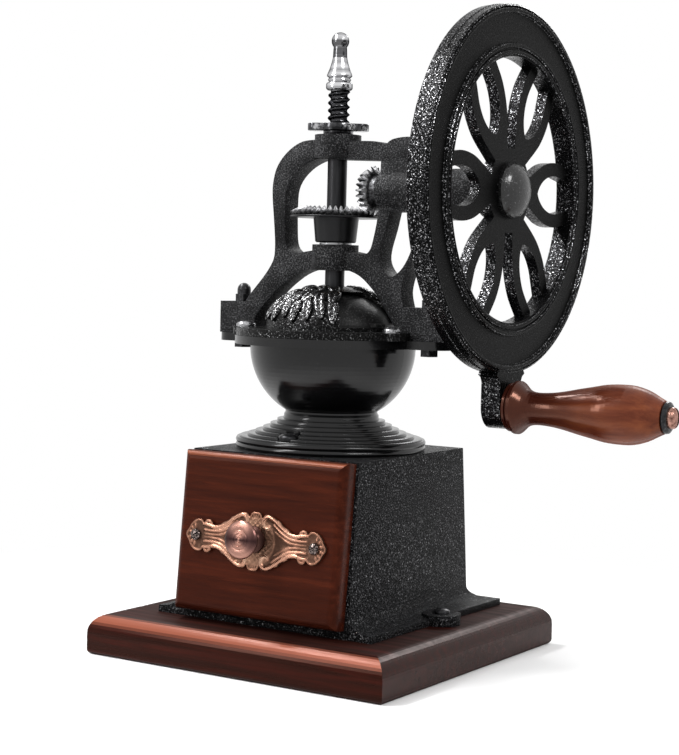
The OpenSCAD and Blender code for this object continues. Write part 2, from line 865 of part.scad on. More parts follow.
// Outline round a bevel gear at one cone distance; the axes cross at the origin
// and the gear lies towards -Z. Each tooth has six points.
function gear_ring(teeth, angle, dist, phase) =
    let (
        pitch_r = cone_dist * sin(angle),
        lean = tan(press_angle) * gear_module / pitch_r * 180 / PI,
        half = tooth_share * 180 / teeth,
        tip = atan(gear_module / cone_dist),
        root = atan(root_depth * gear_module / cone_dist),
        steps = [
            [-half - root_depth * lean, -root], [-half, 0], [-half + lean, tip],
            [half - lean, tip], [half, 0], [half + root_depth * lean, -root]])
    [for (i = [0:teeth - 1], s = steps)
        let (a = phase + i * 360 / teeth + s[0], g = angle + s[1])
            [dist * sin(g) * cos(a), dist * sin(g) * sin(a), -dist * cos(g)]];

// The ring of teeth with a thin band of metal under their roots
module gear_teeth(teeth, angle, phase, band) {
    outer = gear_ring(teeth, angle, cone_dist, phase);
    inner = gear_ring(teeth, angle, cone_dist - face_w, phase);
    root = angle - atan(root_depth * gear_module / cone_dist);
    turn = [for (p = outer) atan2(p[1], p[0])];
    n = len(outer);
    drop_r = -band * cos(root);
    drop_z = -band * sin(root);
    function under(dist) = [for (a = turn)
        let (r = dist * sin(root) + drop_r)
            [r * cos(a), r * sin(a), -dist * cos(root) + drop_z]];
    rings = [outer, inner, under(cone_dist - face_w), under(cone_dist)];
    faces = [for (k = [0:3], j = [0:n - 1], half = [0:1])
        let (a = k * n + j, b = k * n + (j + 1) % n,
            c = ((k + 1) % 4) * n + (j + 1) % n, d = ((k + 1) % 4) * n + j)
            half == 0 ? [a, c, b] : [a, d, c]];
    polyhedron(points = [for (r = rings) each r], faces = faces, convexity = 8);
}

hub_low_z = z_mouth + mid_boss_high + 0.95;
hub_low_r = 8.75;
hub_high_r = 9.7;
recess_r = 7.2;
recess_h = 8.35;
rim_low = -cone_dist * cos(crown_angle - atan(root_depth * gear_module / cone_dist)) - 0.8;
pin_r = 1.2;
crown_pin_z = z_axis + rim_low - 0.6;

module gear_pin_hole() {
    translate([0, 0, crown_pin_z])
        rotate([0, 90, 32])
            cylinder(h = 2 * hub_high_r - 0.6, r = pin_r, center = true);
}

// Body of the large gear: hub below, disc with a rounded lip, dished top
module crown_body() {
    root = crown_angle - atan(root_depth * gear_module / cone_dist);
    inner_dist = cone_dist - face_w;
    sink = 0.35;
    outer_r = cone_dist * sin(root);
    outer_z = -cone_dist * cos(root) - sink;
    inner_r = inner_dist * sin(root);
    inner_z = -inner_dist * cos(root) - sink;
    hub_z = hub_low_z - z_axis;
    turned_z(concat(
        [[0, hub_z], [hub_low_r - 0.5, hub_z], [hub_low_r, hub_z + 0.5], [hub_high_r, rim_low]],
        arc(crown_r - 0.5, rim_low + 0.5, 0.5, -90, 45, 5),
        [[crown_r - 0.9, outer_z], [outer_r, outer_z], [inner_r, inner_z],
            [inner_r - 1.5, inner_z], [inner_r - 2.6, rim_low + 2.6], [0, rim_low + 2.6]]));
}

module crown_gear() {
    color("dimgray")
        difference() {
            translate([0, 0, z_axis])
                union() {
                    crown_body();
                    gear_teeth(crown_teeth, crown_angle, 180 / crown_teeth, 0.8);
                }
            translate([0, 0, hub_low_z - 1])
                cylinder(h = 30, r = shaft_d / 2);
            translate([0, 0, hub_low_z - 1])
                cylinder(h = recess_h + 1, r = recess_r);
            gear_pin_hole();
        }
}

module gear_pin() {
    color("silver")
        gear_pin_hole();
}

spring_wire_r = 0.6;
spring_r = 5.8;
spring_turns = 3.75;
spring_sides = 6;
spring_rings = 8;
spring_washer_h = 0.8;
spring_low_z = z_mouth + mid_boss_high + spring_washer_h + spring_wire_r + 0.02;
spring_high_z = hub_low_z + recess_h - spring_wire_r - 0.02;

module spring_washer() {
    color("silver")
        translate([0, 0, z_mouth + mid_boss_high])
            difference() {
                cylinder(h = spring_washer_h, r = recess_r - 0.3);
                translate([0, 0, -1])
                    cylinder(h = 3, r = shaft_d / 2 + 0.3);
            }
}

module burr_spring() {
    count = ceil(spring_turns * spring_rings);
    rise = (spring_high_z - spring_low_z) / count;
    echo(spring_gap_mm = rise * spring_rings - 2 * spring_wire_r);
    color("silver")
        swept([for (i = [0:count])
            let (turn = i * 360 / spring_rings)
                [for (j = [0:spring_sides - 1])
                    let (a = -j * 360 / spring_sides, r = spring_r + spring_wire_r * cos(a))
                        [r * cos(turn), r * sin(turn), spring_low_z + i * rise + spring_wire_r * sin(a)]]]);
}

// Fixed burr: a ring with a tapered, grooved mouth
cone_low_r = 13.6;
cone_high_r = 8.6;
groove_count = 12;

module burr_ring() {
    mouth = cone_low_r + burr_gap;
    color("silver")
        difference() {
            translate([0, 0, burr_z])
                turned_z([
                    [mouth, 0], [burr_r, 0], [burr_r, burr_h],
                    [mouth - 0.6, burr_h], [mouth - 2, burr_h * 0.55]]);
            for (i = [0:groove_count - 1])
                rotate([0, 0, i * 360 / groove_count])
                    translate([mouth - 3, -0.6, burr_z + 3])
                        rotate([12, 0, 0])
                            cube([4, 1.2, burr_h + 4]);
        }
}

// Turning burr: a grooved cone on the shaft
module burr_cone() {
    color("silver")
        difference() {
            translate([0, 0, burr_z])
                turned_z([
                    [0, -cone_low], [cone_low_r - 1, -cone_low], [cone_low_r, 0],
                    [cone_low_r - 2.2, burr_h * 0.55], [cone_high_r, burr_h + 1], [0, burr_h + 1]]);
            translate([0, 0, burr_z - 2])
                cylinder(h = burr_h + 6, r = tail_r);
            for (i = [0:groove_count - 1])
                rotate([0, 0, i * 360 / groove_count])
                    translate([cone_high_r - 0.4, -0.7, burr_z + 2.5])
                        rotate([-14, 0, 0])
                            cube([8, 1.4, burr_h + 6]);
        }
}

module burr_washer() {
    color("silver")
        translate([0, 0, burr_z - cone_low - washer_h])
            difference() {
                cylinder(h = washer_h, r = 8);
                translate([0, 0, -1])
                    cylinder(h = 4, r = tail_r);
            }
}

module burr_nut() {
    color("silver")
        translate([0, 0, burr_z - cone_low - washer_h - burr_nut_h])
            difference() {
                cylinder(h = burr_nut_h, r = 5 / cos(30), $fn = 6);
                translate([0, 0, -1])
                    cylinder(h = 7, r = tail_r);
            }
}

// Section: adjusting screw with its finial, lock nut and thrust ball

screw_low_z = ball_z + 0.8;
thread_top_z = z_axis + 42.6;
finial_top = 24.3;
thread_depth = 1.1;
screw_tip_len = 2.4;

module thrust_ball() {
    color("silver")
        translate([0, 0, ball_z])
            sphere(r = ball_r);
}

// Height of the thread's ridge at a share of a turn: flat crest, sloping flanks, flat root
function thread_wave(u) = let (f = u - floor(u))
    f < 0.1 ? 1 : f < 0.4 ? 1 - (f - 0.1) / 0.3 : f < 0.7 ? 0 : (f - 0.7) / 0.3;

// Threaded rod with a right-hand helix, from the plain tip up to the head
module screw_thread() {
    columns = 16;
    rows_per_turn = 12;
    low = screw_low_z + screw_tip_len;
    length = thread_top_z - low;
    root = thread_d / 2 - thread_depth;
    count = round(length / thread_pitch * rows_per_turn);
    swept([for (k = [0:count])
        let (h = length * k / count)
            [for (j = [0:columns - 1])
                let (
                    turn = j / columns,
                    wave = k == 0 || k == count ? 0 : thread_wave(h / thread_pitch + turn),
                    r = root + thread_depth * wave)
                [r * cos(turn * 360), -r * sin(turn * 360), low + h]]]);
}

// Turned head of the screw: ring, groove, flare, neck and ball, drawn from its foot upwards
module finial() {
    neck_r = 2.95;
    knob_r = 3.75;
    translate([0, 0, thread_top_z])
        turned_z(concat(
            [[0, 0], [5, 0]],
            arc(4.65, 1, 1, -50, 0, 4),
            arc(4.65, 2.2, 1, 0, 80, 4),
            [[4.5, 3.3], [4.5, 3.6]],
            arc(4.3, 4.3, 0.6, -60, 60, 4),
            [[4.5, 5.1]],
            smooth([[5.35, 5.8], [5.3, 6.4], [4.75, 7.8], [4.2, 9.2], [3.5, 11.6], [3.05, 13.8], [neck_r, 16],
                [2.8, 18.6]], 3),
            arc(0, finial_top - knob_r, knob_r, -42, 90, 12)));
}

module adjusting_screw() {
    color("gray")
        difference() {
            union() {
                translate([0, 0, screw_low_z])
                    cylinder(h = screw_tip_len, r = thread_d / 2 - thread_depth - 0.2);
                screw_thread();
                finial();
            }
            translate([0, 0, ball_z])
                sphere(r = ball_r + fit);
        }
}

nut_low_z = z_axis + top_boss_high;
nut_hub_h = 1.8;
nut_plate_h = 3.1;
nut_ear_reach = 13;
nut_ear_r = 3.8;

module lock_nut_outline() {
    ear_x = nut_ear_reach - nut_ear_r;
    circle(r = 7.5);
    square([2 * ear_x, 2 * nut_ear_r], center = true);
    for (side = [-1, 1])
        translate([side * ear_x, 0])
            circle(r = nut_ear_r);
}

module lock_nut() {
    color("gray")
        translate([0, 0, nut_low_z])
            difference() {
                union() {
                    cylinder(h = nut_hub_h + 0.5, r = 6.4);
                    translate([0, 0, nut_hub_h])
                        rotate([0, 0, 32])
                            linear_extrude(height = nut_plate_h)
                                lock_nut_outline();
                }
                translate([0, 0, -1])
                    cylinder(h = 8, r = thread_d / 2 + 0.1);
            }
}

// Section: wheel shaft, its bushes and the small gear

wheel_bush_len = 9;
shaft_start_x = 14.6;
hub_face_x = wheel_x - 1.1 + spoke_thick / 2;
shaft_end_x = hub_face_x + 4;
pinion_back_x = side_boss_x - run_gap;
pinion_pin_x = pinion_back_x - 1.5;

module wheel_bush(x0) {
    color("goldenrod")
        translate([0, 0, z_axis])
            difference() {
                rod_x(wheel_shaft_d / 2 + bush_wall, x0, x0 + wheel_bush_len);
                rod_x(wheel_shaft_d / 2 + fit, x0 - 1, x0 + wheel_bush_len + 1);
            }
}

module wheel_bush_inner() {
    wheel_bush(side_boss_x);
}

module wheel_bush_outer() {
    wheel_bush(barrel_end_x - wheel_bush_len);
}

module wheel_shaft() {
    color("gray")
        difference() {
            translate([0, 0, z_axis])
                rod_x(wheel_shaft_d / 2, shaft_start_x, shaft_end_x);
            pinion_pin_hole();
        }
}

module pinion_pin_hole() {
    translate([pinion_pin_x, 0, z_axis])
        cylinder(h = 13, r = 0.9, center = true);
}

module pinion() {
    root = pinion_angle - atan(root_depth * gear_module / cone_dist);
    inner_dist = cone_dist - face_w;
    sink = 0.35;
    back_r = 7.4;
    color("dimgray")
        difference() {
            translate([0, 0, z_axis])
                union() {
                    turned_x([
                        [inner_dist * cos(root) - 0.2, 0],
                        [inner_dist * cos(root) - 0.2, inner_dist * sin(root) - sink],
                        [cone_dist * cos(root) + 0.1, cone_dist * sin(root) - sink],
                        [cone_dist * cos(root) + 0.6, back_r], [pinion_back_x, back_r], [pinion_back_x, 0]]);
                    rotate([0, -90, 0])
                        gear_teeth(pinion_teeth, pinion_angle, 0, 0.8);
                }
            translate([0, 0, z_axis])
                rod_x(wheel_shaft_d / 2, 0, 60);
            pinion_pin_hole();
        }
}

module pinion_pin() {
    color("silver")
        pinion_pin_hole();
}

// Section: flywheel with its cap, bolt and grip

spoke_count = 6;
hub_disc_r = 17;
hub_back_r = 11;
cap_r = 11.4;
cap_h = 7.3;
lug_half_w = 9;
grip_start_x = wheel_x + rim_thick / 2 + 0.2;
bolt_gap = 0.3;

// Cross-section of the rim as [radius, distance from its middle plane], with its beads
module rim_outline() {
    half = rim_thick / 2;
    panel = half - 0.9;
    r0 = rim_inner_r;
    r1 = wheel_r;
    side = concat(
        [[r0, 0], [r0, panel]],
        arc(r0 + 1.6, panel, 1.1, 180, 0, 6),
        arc(r0 + 4.2, panel, 1.1, 180, 0, 6),
        [[r0 + 5.6, panel - 0.5], [r1 - 4, panel - 0.5]],
        arc(r1 - 2.6, panel, 1.1, 180, 0, 6),
        [[r1 - 1, half - 0.2], [r1 - 0.3, half - 0.7], [r1 - 0.3, 0.5], [r1, 0.25], [r1, 0]]);
    polygon(concat(side, mirror_y(side)));
}

// Half of a petal loop of the spokes, as [distance from the axis, half-width]
petal_outer = [[15, 5.2], [20, 7.6], [25, 10], [30, 12], [36, 13.2], [42, 13.4], [48, 12.4], [55, 10.8]];
petal_inner = [[24.8, 0], [26.4, 2.6], [30, 5.4], [35, 7.3], [41, 7.9], [47, 7], [55, 5.6]];

module petal_outline() {
    outer = smooth(petal_outer, 3);
    inner = smooth(petal_inner, 3);
    difference() {
        polygon(concat(outer, mirror_y(outer)));
        polygon(concat(inner, mirror_y(inner)));
    }
}

// Lug that carries the grip, flaring out where it meets the rim
module lug_outline() {
    bead_r = wheel_r - 2.6;
    flare = [[-bead_r, lug_half_w + 1], [-wheel_r, lug_half_w + 3], [-wheel_r - 1.2, lug_half_w + 1],
        [-wheel_r - 3.2, lug_half_w], [-crank_r, lug_half_w]];
    polygon(concat(flare, mirror_y(flare)));
    translate([-crank_r, 0])
        circle(r = lug_half_w);
}

// The flywheel is drawn flat, with its axis along Z, then stood up along X
module flywheel_flat() {
    half = spoke_thick / 2;
    rotate_extrude($fn = 96)
        rim_outline();
    translate([0, 0, -1.1 - half]) {
        linear_extrude(height = spoke_thick)
            for (i = [0:spoke_count - 1])
                rotate(90 + i * 360 / spoke_count)
                    petal_outline();
        cylinder(h = spoke_thick, r = hub_disc_r);
    }
    difference() {
        translate([0, 0, -rim_thick / 2])
            linear_extrude(height = rim_thick - 0.4)
                lug_outline();
        translate([-crank_r, 0, -rim_thick])
            cylinder(h = 2 * rim_thick, r = grip_bolt_d / 2);
    }
}

module flywheel() {
    half = spoke_thick / 2;
    color("black")
        difference() {
            translate([0, 0, z_axis]) {
                translate([wheel_x, 0, 0])
                    mirror([1, 0, 0])
                        rotate([0, -90, 0])
                            flywheel_flat();
                rod_x(hub_back_r, barrel_end_x + run_gap, wheel_x - 1.1);
            }
            translate([0, 0, z_axis])
                rod_x(wheel_shaft_d / 2, barrel_end_x, wheel_x + 20);
        }
}

module hub_cap() {
    color("black")
        translate([0, 0, z_axis])
            difference() {
                turned_x(concat(
                    [[hub_face_x, 0], [hub_face_x, cap_r]],
                    [for (i = [0:10]) [hub_face_x + 0.8 + (cap_h - 0.8) * sin(i * 9), cap_r * cos(i * 9)]]));
                rod_x(wheel_shaft_d / 2, hub_face_x - 1, shaft_end_x);
            }
}

ring_len = 2;
grip_end_x = grip_start_x + grip_len;
ring_x = grip_end_x + bolt_gap;
head_x = ring_x + ring_len;

module handle_bolt() {
    color("peru")
        translate([0, 0, z_axis - crank_r])
            difference() {
                union() {
                    rod_x(grip_bolt_d / 2, wheel_x - rim_thick / 2, head_x);
                    turned_x(concat(
                        [[head_x, 0], [head_x, 4.2]],
                        [for (i = [0:8]) [head_x + 1 + 2.2 * sin(i * 11.25), 4.2 * cos(i * 11.25)]]));
                }
                translate([head_x + 1.6, -0.6, -6])
                    cube([4, 1.2, 12]);
            }
}

// Turned wooden grip, as fractions of its length and of its largest radius
grip_profile = [
    [0.09, 0.77], [0.125, 0.625], [0.18, 0.555], [0.275, 0.58], [0.365, 0.66], [0.455, 0.77],
    [0.545, 0.87], [0.63, 0.965], [0.72, 1], [0.81, 0.98], [0.895, 0.845], [0.96, 0.66], [1, 0.55]];

module handle_grip() {
    bore = grip_bolt_d / 2 + 0.1;
    curve = smooth([for (p = grip_profile) [p[0] * grip_len, p[1] * grip_r]], 3);
    color("saddlebrown")
        translate([grip_start_x, 0, z_axis - crank_r])
            turned_x(concat(
                [[0, bore], [0, 0.8 * grip_r], [0.4, 0.84 * grip_r], [1.3, 0.84 * grip_r]],
                [[1.7, 0.79 * grip_r], [2.1, 0.79 * grip_r]],
                [[2.4, 0.88 * grip_r], [2.8, 0.915 * grip_r], [4, 0.915 * grip_r], [4.6, 0.88 * grip_r]],
                curve,
                [[grip_len, bore]]));
}

module grip_ring() {
    color("black")
        translate([ring_x, 0, z_axis - crank_r])
            turned_x([
                [0, grip_bolt_d / 2], [0, 5.9], [0.5, 6.3], [1.3, 6.1],
                [ring_len, 5], [ring_len, grip_bolt_d / 2]]);
}

base_board();
base_screws();
body_box();
drawer_front();
drawer_side_left();
drawer_side_right();
drawer_back();
drawer_bottom();
escutcheon();
escutcheon_screws();
drawer_knob();
knob_screw();
hopper_bowl();
foot_screws();
hopper_cover();
cover_screws();
hopper_hatch();
bridge();
bridge_bolts();
bridge_acorn_nuts();
shaft_bush();
main_shaft();
crown_gear();
gear_pin();
spring_washer();
burr_spring();
burr_ring();
burr_cone();
burr_washer();
burr_nut();
thrust_ball();
adjusting_screw();
lock_nut();
wheel_shaft();
wheel_bush_inner();
wheel_bush_outer();
pinion();
pinion_pin();
flywheel();
hub_cap();
handle_bolt();
handle_grip();
grip_ring();
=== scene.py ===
# Coffee grinder with a flywheel crank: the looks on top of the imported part.
# Metres, in the part's own frame. The sections follow the grinder as it is put together.

import math

import bpy
from mathutils import Matrix, Vector


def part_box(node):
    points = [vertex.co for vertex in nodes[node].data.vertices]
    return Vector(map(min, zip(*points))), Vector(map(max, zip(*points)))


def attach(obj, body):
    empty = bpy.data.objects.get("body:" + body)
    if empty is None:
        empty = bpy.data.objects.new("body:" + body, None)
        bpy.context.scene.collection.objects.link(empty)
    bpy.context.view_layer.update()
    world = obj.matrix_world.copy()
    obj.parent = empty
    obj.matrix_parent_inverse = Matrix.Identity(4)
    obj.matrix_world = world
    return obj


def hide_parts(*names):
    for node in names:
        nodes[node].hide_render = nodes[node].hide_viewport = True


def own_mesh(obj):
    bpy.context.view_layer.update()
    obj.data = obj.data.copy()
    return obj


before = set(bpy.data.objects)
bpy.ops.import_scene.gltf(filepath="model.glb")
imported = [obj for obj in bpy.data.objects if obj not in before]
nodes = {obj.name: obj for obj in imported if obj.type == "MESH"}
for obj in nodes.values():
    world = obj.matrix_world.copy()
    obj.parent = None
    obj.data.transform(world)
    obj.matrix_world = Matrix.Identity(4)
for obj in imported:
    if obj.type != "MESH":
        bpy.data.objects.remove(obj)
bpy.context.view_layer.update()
mm = 0.001


# Section: camera
# It stands where the photograph was taken from, right of the front and a little above the table.

eye = Vector((0.414235, -0.642334, 0.163673))
eye_right = (0.841522, 0.539660, 0.024644)
eye_up = (-0.053366, 0.037650, 0.997865)
eye_back = (0.537580, -0.841041, 0.060483)
lens_pixels = 1789.14
long_side_pixels = 755

camera_data = bpy.data.cameras.new("camera")
camera_data.sensor_width = 36.0
camera_data.lens = lens_pixels * camera_data.sensor_width / long_side_pixels
camera_data.clip_start = 0.02
camera_data.clip_end = 20.0
camera = bpy.data.objects.new("camera", camera_data)
bpy.context.scene.collection.objects.link(camera)
camera.matrix_world = Matrix.Translation(eye) @ Matrix((eye_right, eye_up, eye_back)).transposed().to_4x4()
bpy.context.scene.camera = camera
bpy.context.scene.view_settings.view_transform = "Standard"


# Section: studio light
# A white room at a soft level, with a tall strip at the front left and lamps above, at the right and behind.

room_level = 0.5
lamp_target = Vector((0.02, 0.0, 0.13))


def step(tree, kind, inputs=None, **choices):
    """Adds a shader node. Its inputs are numbers, colours or the sockets that feed them."""
    made = tree.nodes.new("ShaderNode" + kind)
    for name, choice in choices.items():
        setattr(made, name, choice)
    for name, value in (inputs or {}).items():
        if isinstance(value, bpy.types.NodeSocket):
            tree.links.new(value, made.inputs[name])
        else:
            made.inputs[name].default_value = value
    return made


def white_where_seen(tree):
    """One where the white is seen or mirrored, and the room's level where it only lights."""
    path = step(tree, "LightPath")
    mirrored = step(tree, "Math", {0: path.outputs["Is Glossy Ray"], 1: path.outputs["Is Transmission Ray"]},
                    operation="MAXIMUM")
    seen = step(tree, "Math", {0: path.outputs["Is Camera Ray"], 1: mirrored.outputs[0]}, operation="MAXIMUM")
    level = step(tree, "Math", {0: seen.outputs[0], 1: 1.0 - room_level, 2: room_level}, operation="MULTIPLY_ADD")
    return level.outputs[0]


world = bpy.data.worlds.new("white room")
bpy.context.scene.world = world
world.use_nodes = True
room = world.node_tree.nodes["Background"]
room.inputs["Color"].default_value = (1.0, 1.0, 1.0, 1.0)
world.node_tree.links.new(white_where_seen(world.node_tree), room.inputs["Strength"])


def add_lamp(name, place, width, height, power):
    """A soft lamp that faces the grinder."""
    bpy.ops.object.light_add(type="AREA", location=place)
    lamp = bpy.context.object
    lamp.name = name
    lamp.data.shape = "RECTANGLE"
    lamp.data.size = width
    lamp.data.size_y = height
    lamp.data.energy = power
    lamp.rotation_euler = (lamp_target - Vector(place)).to_track_quat("-Z", "Y").to_euler()


bpy.ops.object.select_all(action="DESELECT")
add_lamp("strip lamp", (-0.42, -0.62, 0.62), 0.15, 0.85, 4.5)
add_lamp("top lamp", (-0.52, -0.12, 0.92), 0.7, 0.1, 8.5)
add_lamp("side lamp", (0.9, -0.28, 0.84), 0.5, 0.2, 7.0)
add_lamp("rear lamp", (-0.1, 0.95, 0.7), 0.24, 0.24, 2.5)



# Section: floor
# A pale matt table that fades into the white room away from the grinder and keeps its shadow.

floor_r = 4.0
shadow_r = 0.11
fade_r = 0.3

bpy.ops.object.select_all(action="DESELECT")
bpy.ops.mesh.primitive_circle_add(vertices=96, radius=floor_r, fill_type="NGON", location=(0.0, 0.0, 0.0))
floor = bpy.context.object
floor.name = "floor"
floor_finish = bpy.data.materials.new("pale table")
floor_finish.use_nodes = True
tree = floor_finish.node_tree
tree.nodes.clear()
place = step(tree, "TexCoord")
distance = step(tree, "VectorMath", {0: place.outputs["Object"]}, operation="LENGTH")
fade = step(tree, "MapRange", {"Value": distance.outputs["Value"], "From Min": shadow_r, "From Max": fade_r},
            interpolation_type="SMOOTHSTEP")
table_top = step(tree, "BsdfDiffuse", {"Color": (0.93, 0.93, 0.93, 1.0)})
glow = step(tree, "Emission", {"Strength": white_where_seen(tree)})
both = step(tree, "MixShader", {0: fade.outputs[0], 1: table_top.outputs[0], 2: glow.outputs[0]})
step(tree, "OutputMaterial", {"Surface": both.outputs[0]})
floor.data.materials.append(floor_finish)


# Section: base board
# Solid wooden board with a rounded top edge, stained red-brown and lacquered, its grain along the front.

def tint(red, green, blue):
    """A colour as it is seen on a screen, from 0 to 255, as the shader wants it."""
    return tuple(((v / 255.0 + 0.055) / 1.055) ** 2.4 if v > 10 else v / 255.0 / 12.92
                 for v in (red, green, blue)) + (1.0,)


def new_finish(name, rough, metal=0.0, gloss=0.5):
    """A material whose plain numbers are set on the shader's own sockets. Returns it with its node tree."""
    finish = bpy.data.materials.new(name)
    finish.use_nodes = True
    shader = finish.node_tree.nodes["Principled BSDF"]
    shader.inputs["Roughness"].default_value = rough
    shader.inputs["Metallic"].default_value = metal
    shader.inputs["Specular IOR Level"].default_value = gloss
    return finish, finish.node_tree


def feed(tree, socket, source):
    """Feeds one of the shader's sockets."""
    tree.links.new(source, tree.nodes["Principled BSDF"].inputs[socket])


def placed(tree, stretch=(1.0, 1.0, 1.0), centre=(0.0, 0.0, 0.0)):
    """The place on the piece, measured from centre and stretched."""
    here = step(tree, "TexCoord").outputs["Object"]
    moved = step(tree, "VectorMath", {0: here, 1: centre}, operation="SUBTRACT").outputs[0]
    return step(tree, "VectorMath", {0: moved, 1: stretch}, operation="MULTIPLY").outputs[0]


def mottle(tree, vector, scale, detail=3.0, roughness=0.55, distortion=0.0):
    """Soft random pattern between 0 and 1."""
    return step(tree, "TexNoise", {"Vector": vector, "Scale": scale, "Detail": detail, "Roughness": roughness,
                                   "Distortion": distortion}).outputs["Fac"]


def ramp(tree, factor, stops):
    """Colours along a factor, as pairs of place and colour."""
    made = step(tree, "ValToRGB", {"Fac": factor})
    bar = made.color_ramp.elements
    while len(bar) < len(stops):
        bar.new(0.5)
    for mark, (where, colour) in zip(bar, stops):
        mark.position = where
        mark.color = colour
    return made.outputs["Color"]


def spread(tree, value, low, high, out_low=0.0, out_high=1.0):
    """A value between low and high, spread to another range and held inside it."""
    return step(tree, "MapRange", {"Value": value, "From Min": low, "From Max": high, "To Min": out_low,
                                   "To Max": out_high}).outputs[0]


def mixed(tree, factor, first, second):
    """Two colours mixed by a factor."""
    made = step(tree, "Mix", {0: factor}, data_type="RGBA")
    for socket, colour in ((made.inputs[6], first), (made.inputs[7], second)):
        if isinstance(colour, bpy.types.NodeSocket):
            tree.links.new(colour, socket)
        else:
            socket.default_value = colour
    return made.outputs[2]


def raise_surface(tree, height, strength, depth, under=None):
    """Bump from a height between 0 and 1, depth metres deep."""
    inputs = {"Height": height, "Strength": strength, "Distance": depth}
    if under is not None:
        inputs["Normal"] = under
    return step(tree, "Bump", inputs).outputs["Normal"]


def dress(finish, *names):
    """Gives the part's own nodes a finish."""
    for name in names:
        nodes[name].material_slots[0].material = finish


def stained_wood(name, dark, middle, light, stretch, rough, shine, gloss=0.5, painted_highlight=None):
    """Stained wood with long fibres and slow changes of colour. Its upper front edges can be painted a lighter
    colour, as a painted highlight.
    """
    finish, tree = new_finish(name, rough, gloss=gloss)
    tree.nodes["Principled BSDF"].inputs["Specular Tint"].default_value = shine
    along = placed(tree, stretch)
    fibres = mottle(tree, along, 1.0, detail=6.0, roughness=0.62, distortion=0.35)
    slow = mottle(tree, along, 0.16, detail=2.0, distortion=0.8)
    wood = ramp(tree, fibres, [(0.28, dark), (0.5, middle), (0.74, light)])
    shade = ramp(tree, slow, [(0.35, (0.74, 0.72, 0.7, 1.0)), (0.65, (1.12, 1.1, 1.08, 1.0))])
    shaded = step(tree, "Mix", {0: 1.0}, data_type="RGBA", blend_type="MULTIPLY")
    tree.links.new(wood, shaded.inputs[6])
    tree.links.new(shade, shaded.inputs[7])
    colour = shaded.outputs[2]
    if painted_highlight is not None:
        # The upper edges that face the front are painted lighter, unevenly along them: a painted highlight.
        facing = step(tree, "SeparateXYZ", {0: step(tree, "NewGeometry").outputs["Normal"]})
        upward = facing.outputs["Z"]
        tilted = step(tree, "Math", {0: spread(tree, upward, 0.42, 0.66), 1: spread(tree, upward, 0.86, 0.97)},
                      operation="SUBTRACT").outputs[0]
        forward = spread(tree, facing.outputs["Y"], -0.05, -0.3)
        in_front = step(tree, "Math", {0: tilted, 1: forward}, operation="MULTIPLY").outputs[0]
        uneven = spread(tree, slow, 0.3, 0.6, 0.5, 1.0)
        painted_edge_highlight = step(tree, "Math", {0: in_front, 1: uneven}, operation="MULTIPLY").outputs[0]
        colour = mixed(tree, painted_edge_highlight, colour, painted_highlight)
    feed(tree, "Base Color", colour)
    fibre_rough = spread(tree, fibres, 0.3, 0.7, rough + 0.08, rough - 0.05)
    edge_on = spread(tree, step(tree, "LayerWeight").outputs["Facing"], 0.5, 0.8, 0.0, 0.5)
    feed(tree, "Roughness", step(tree, "Math", {0: fibre_rough, 1: edge_on}, operation="ADD").outputs[0])
    feed(tree, "Normal", raise_surface(tree, fibres, 0.3, 0.1 * mm))
    return finish


# The board's rounded upper front edge is painted lighter as a painted highlight.
mahogany = stained_wood("stained board", tint(8, 2, 2), tint(25, 6, 4), tint(50, 12, 8),
                        (14.0, 330.0, 330.0), 0.2, (1.0, 0.4, 0.28, 1.0), gloss=0.18, painted_highlight=tint(138, 78, 60))
dress(mahogany, "base_board")


# Section: small black screws
# Blackened steel wood screws, bolts and acorn nuts, with a little bright wear on the raised places.

screw_black, tree = new_finish("blackened screw", 0.3, metal=0.7, gloss=0.5)
wear = mottle(tree, placed(tree), 900.0, detail=4.0)
feed(tree, "Base Color", ramp(tree, wear, [(0.35, tint(26, 26, 27)), (0.62, tint(48, 48, 50)), (0.8, tint(120, 120, 124))]))
feed(tree, "Roughness", spread(tree, wear, 0.3, 0.7, 0.22, 0.42))
feed(tree, "Normal", raise_surface(tree, mottle(tree, placed(tree), 2400.0), 0.2, 0.05 * mm))
dress(screw_black, "base_screws", "foot_screws", "bridge_bolts", "bridge_acorn_nuts", "grip_ring")

bright_screw, tree = new_finish("screw head with bright wear", 0.24, metal=1.0)
wear = mottle(tree, placed(tree), 700.0, detail=4.0)
feed(tree, "Base Color", ramp(tree, wear, [(0.3, tint(110, 110, 112)), (0.55, tint(170, 170, 172)), (0.75, tint(220, 220, 222))]))
feed(tree, "Normal", raise_surface(tree, mottle(tree, placed(tree), 2600.0), 0.2, 0.05 * mm))
dress(bright_screw, "cover_screws")


# Section: drawer box
# Cast metal box with a foot flange, in black paint that dried in fine beads, their tops painted light as painted
# glints.

def beaded_paint_with_painted_glints(name, stops, size, metal_from, rough, gloss, depth, calm=None):
    """Black paint dried in fine beads. The bead tops are painted light grey as painted glints and turn to metal that
    mirrors the room. Calm lowers the beads where it is high.
    """
    finish, tree = new_finish(name, rough, gloss=gloss)
    beads = mottle(tree, placed(tree), size, detail=2.0, roughness=0.7)
    if calm is not None:
        beads = step(tree, "Math", {0: beads, 1: calm(tree)}, operation="SUBTRACT").outputs[0]
    feed(tree, "Base Color", ramp(tree, beads, stops))
    feed(tree, "Metallic", spread(tree, beads, metal_from, metal_from + 0.08))
    feed(tree, "Roughness", spread(tree, beads, 0.3, 0.7, rough + 0.12, rough - 0.08))
    feed(tree, "Normal", raise_surface(tree, beads, 1.0, depth))
    return finish


def copy_node(name, new_name):
    """A copy of one of the part's nodes with a mesh of its own and no material yet."""
    bpy.ops.object.select_all(action="DESELECT")
    nodes[name].select_set(True)
    bpy.context.view_layer.objects.active = nodes[name]
    bpy.ops.object.duplicate()
    copy = bpy.context.object
    copy.name = new_name
    copy.data.materials.clear()
    return copy


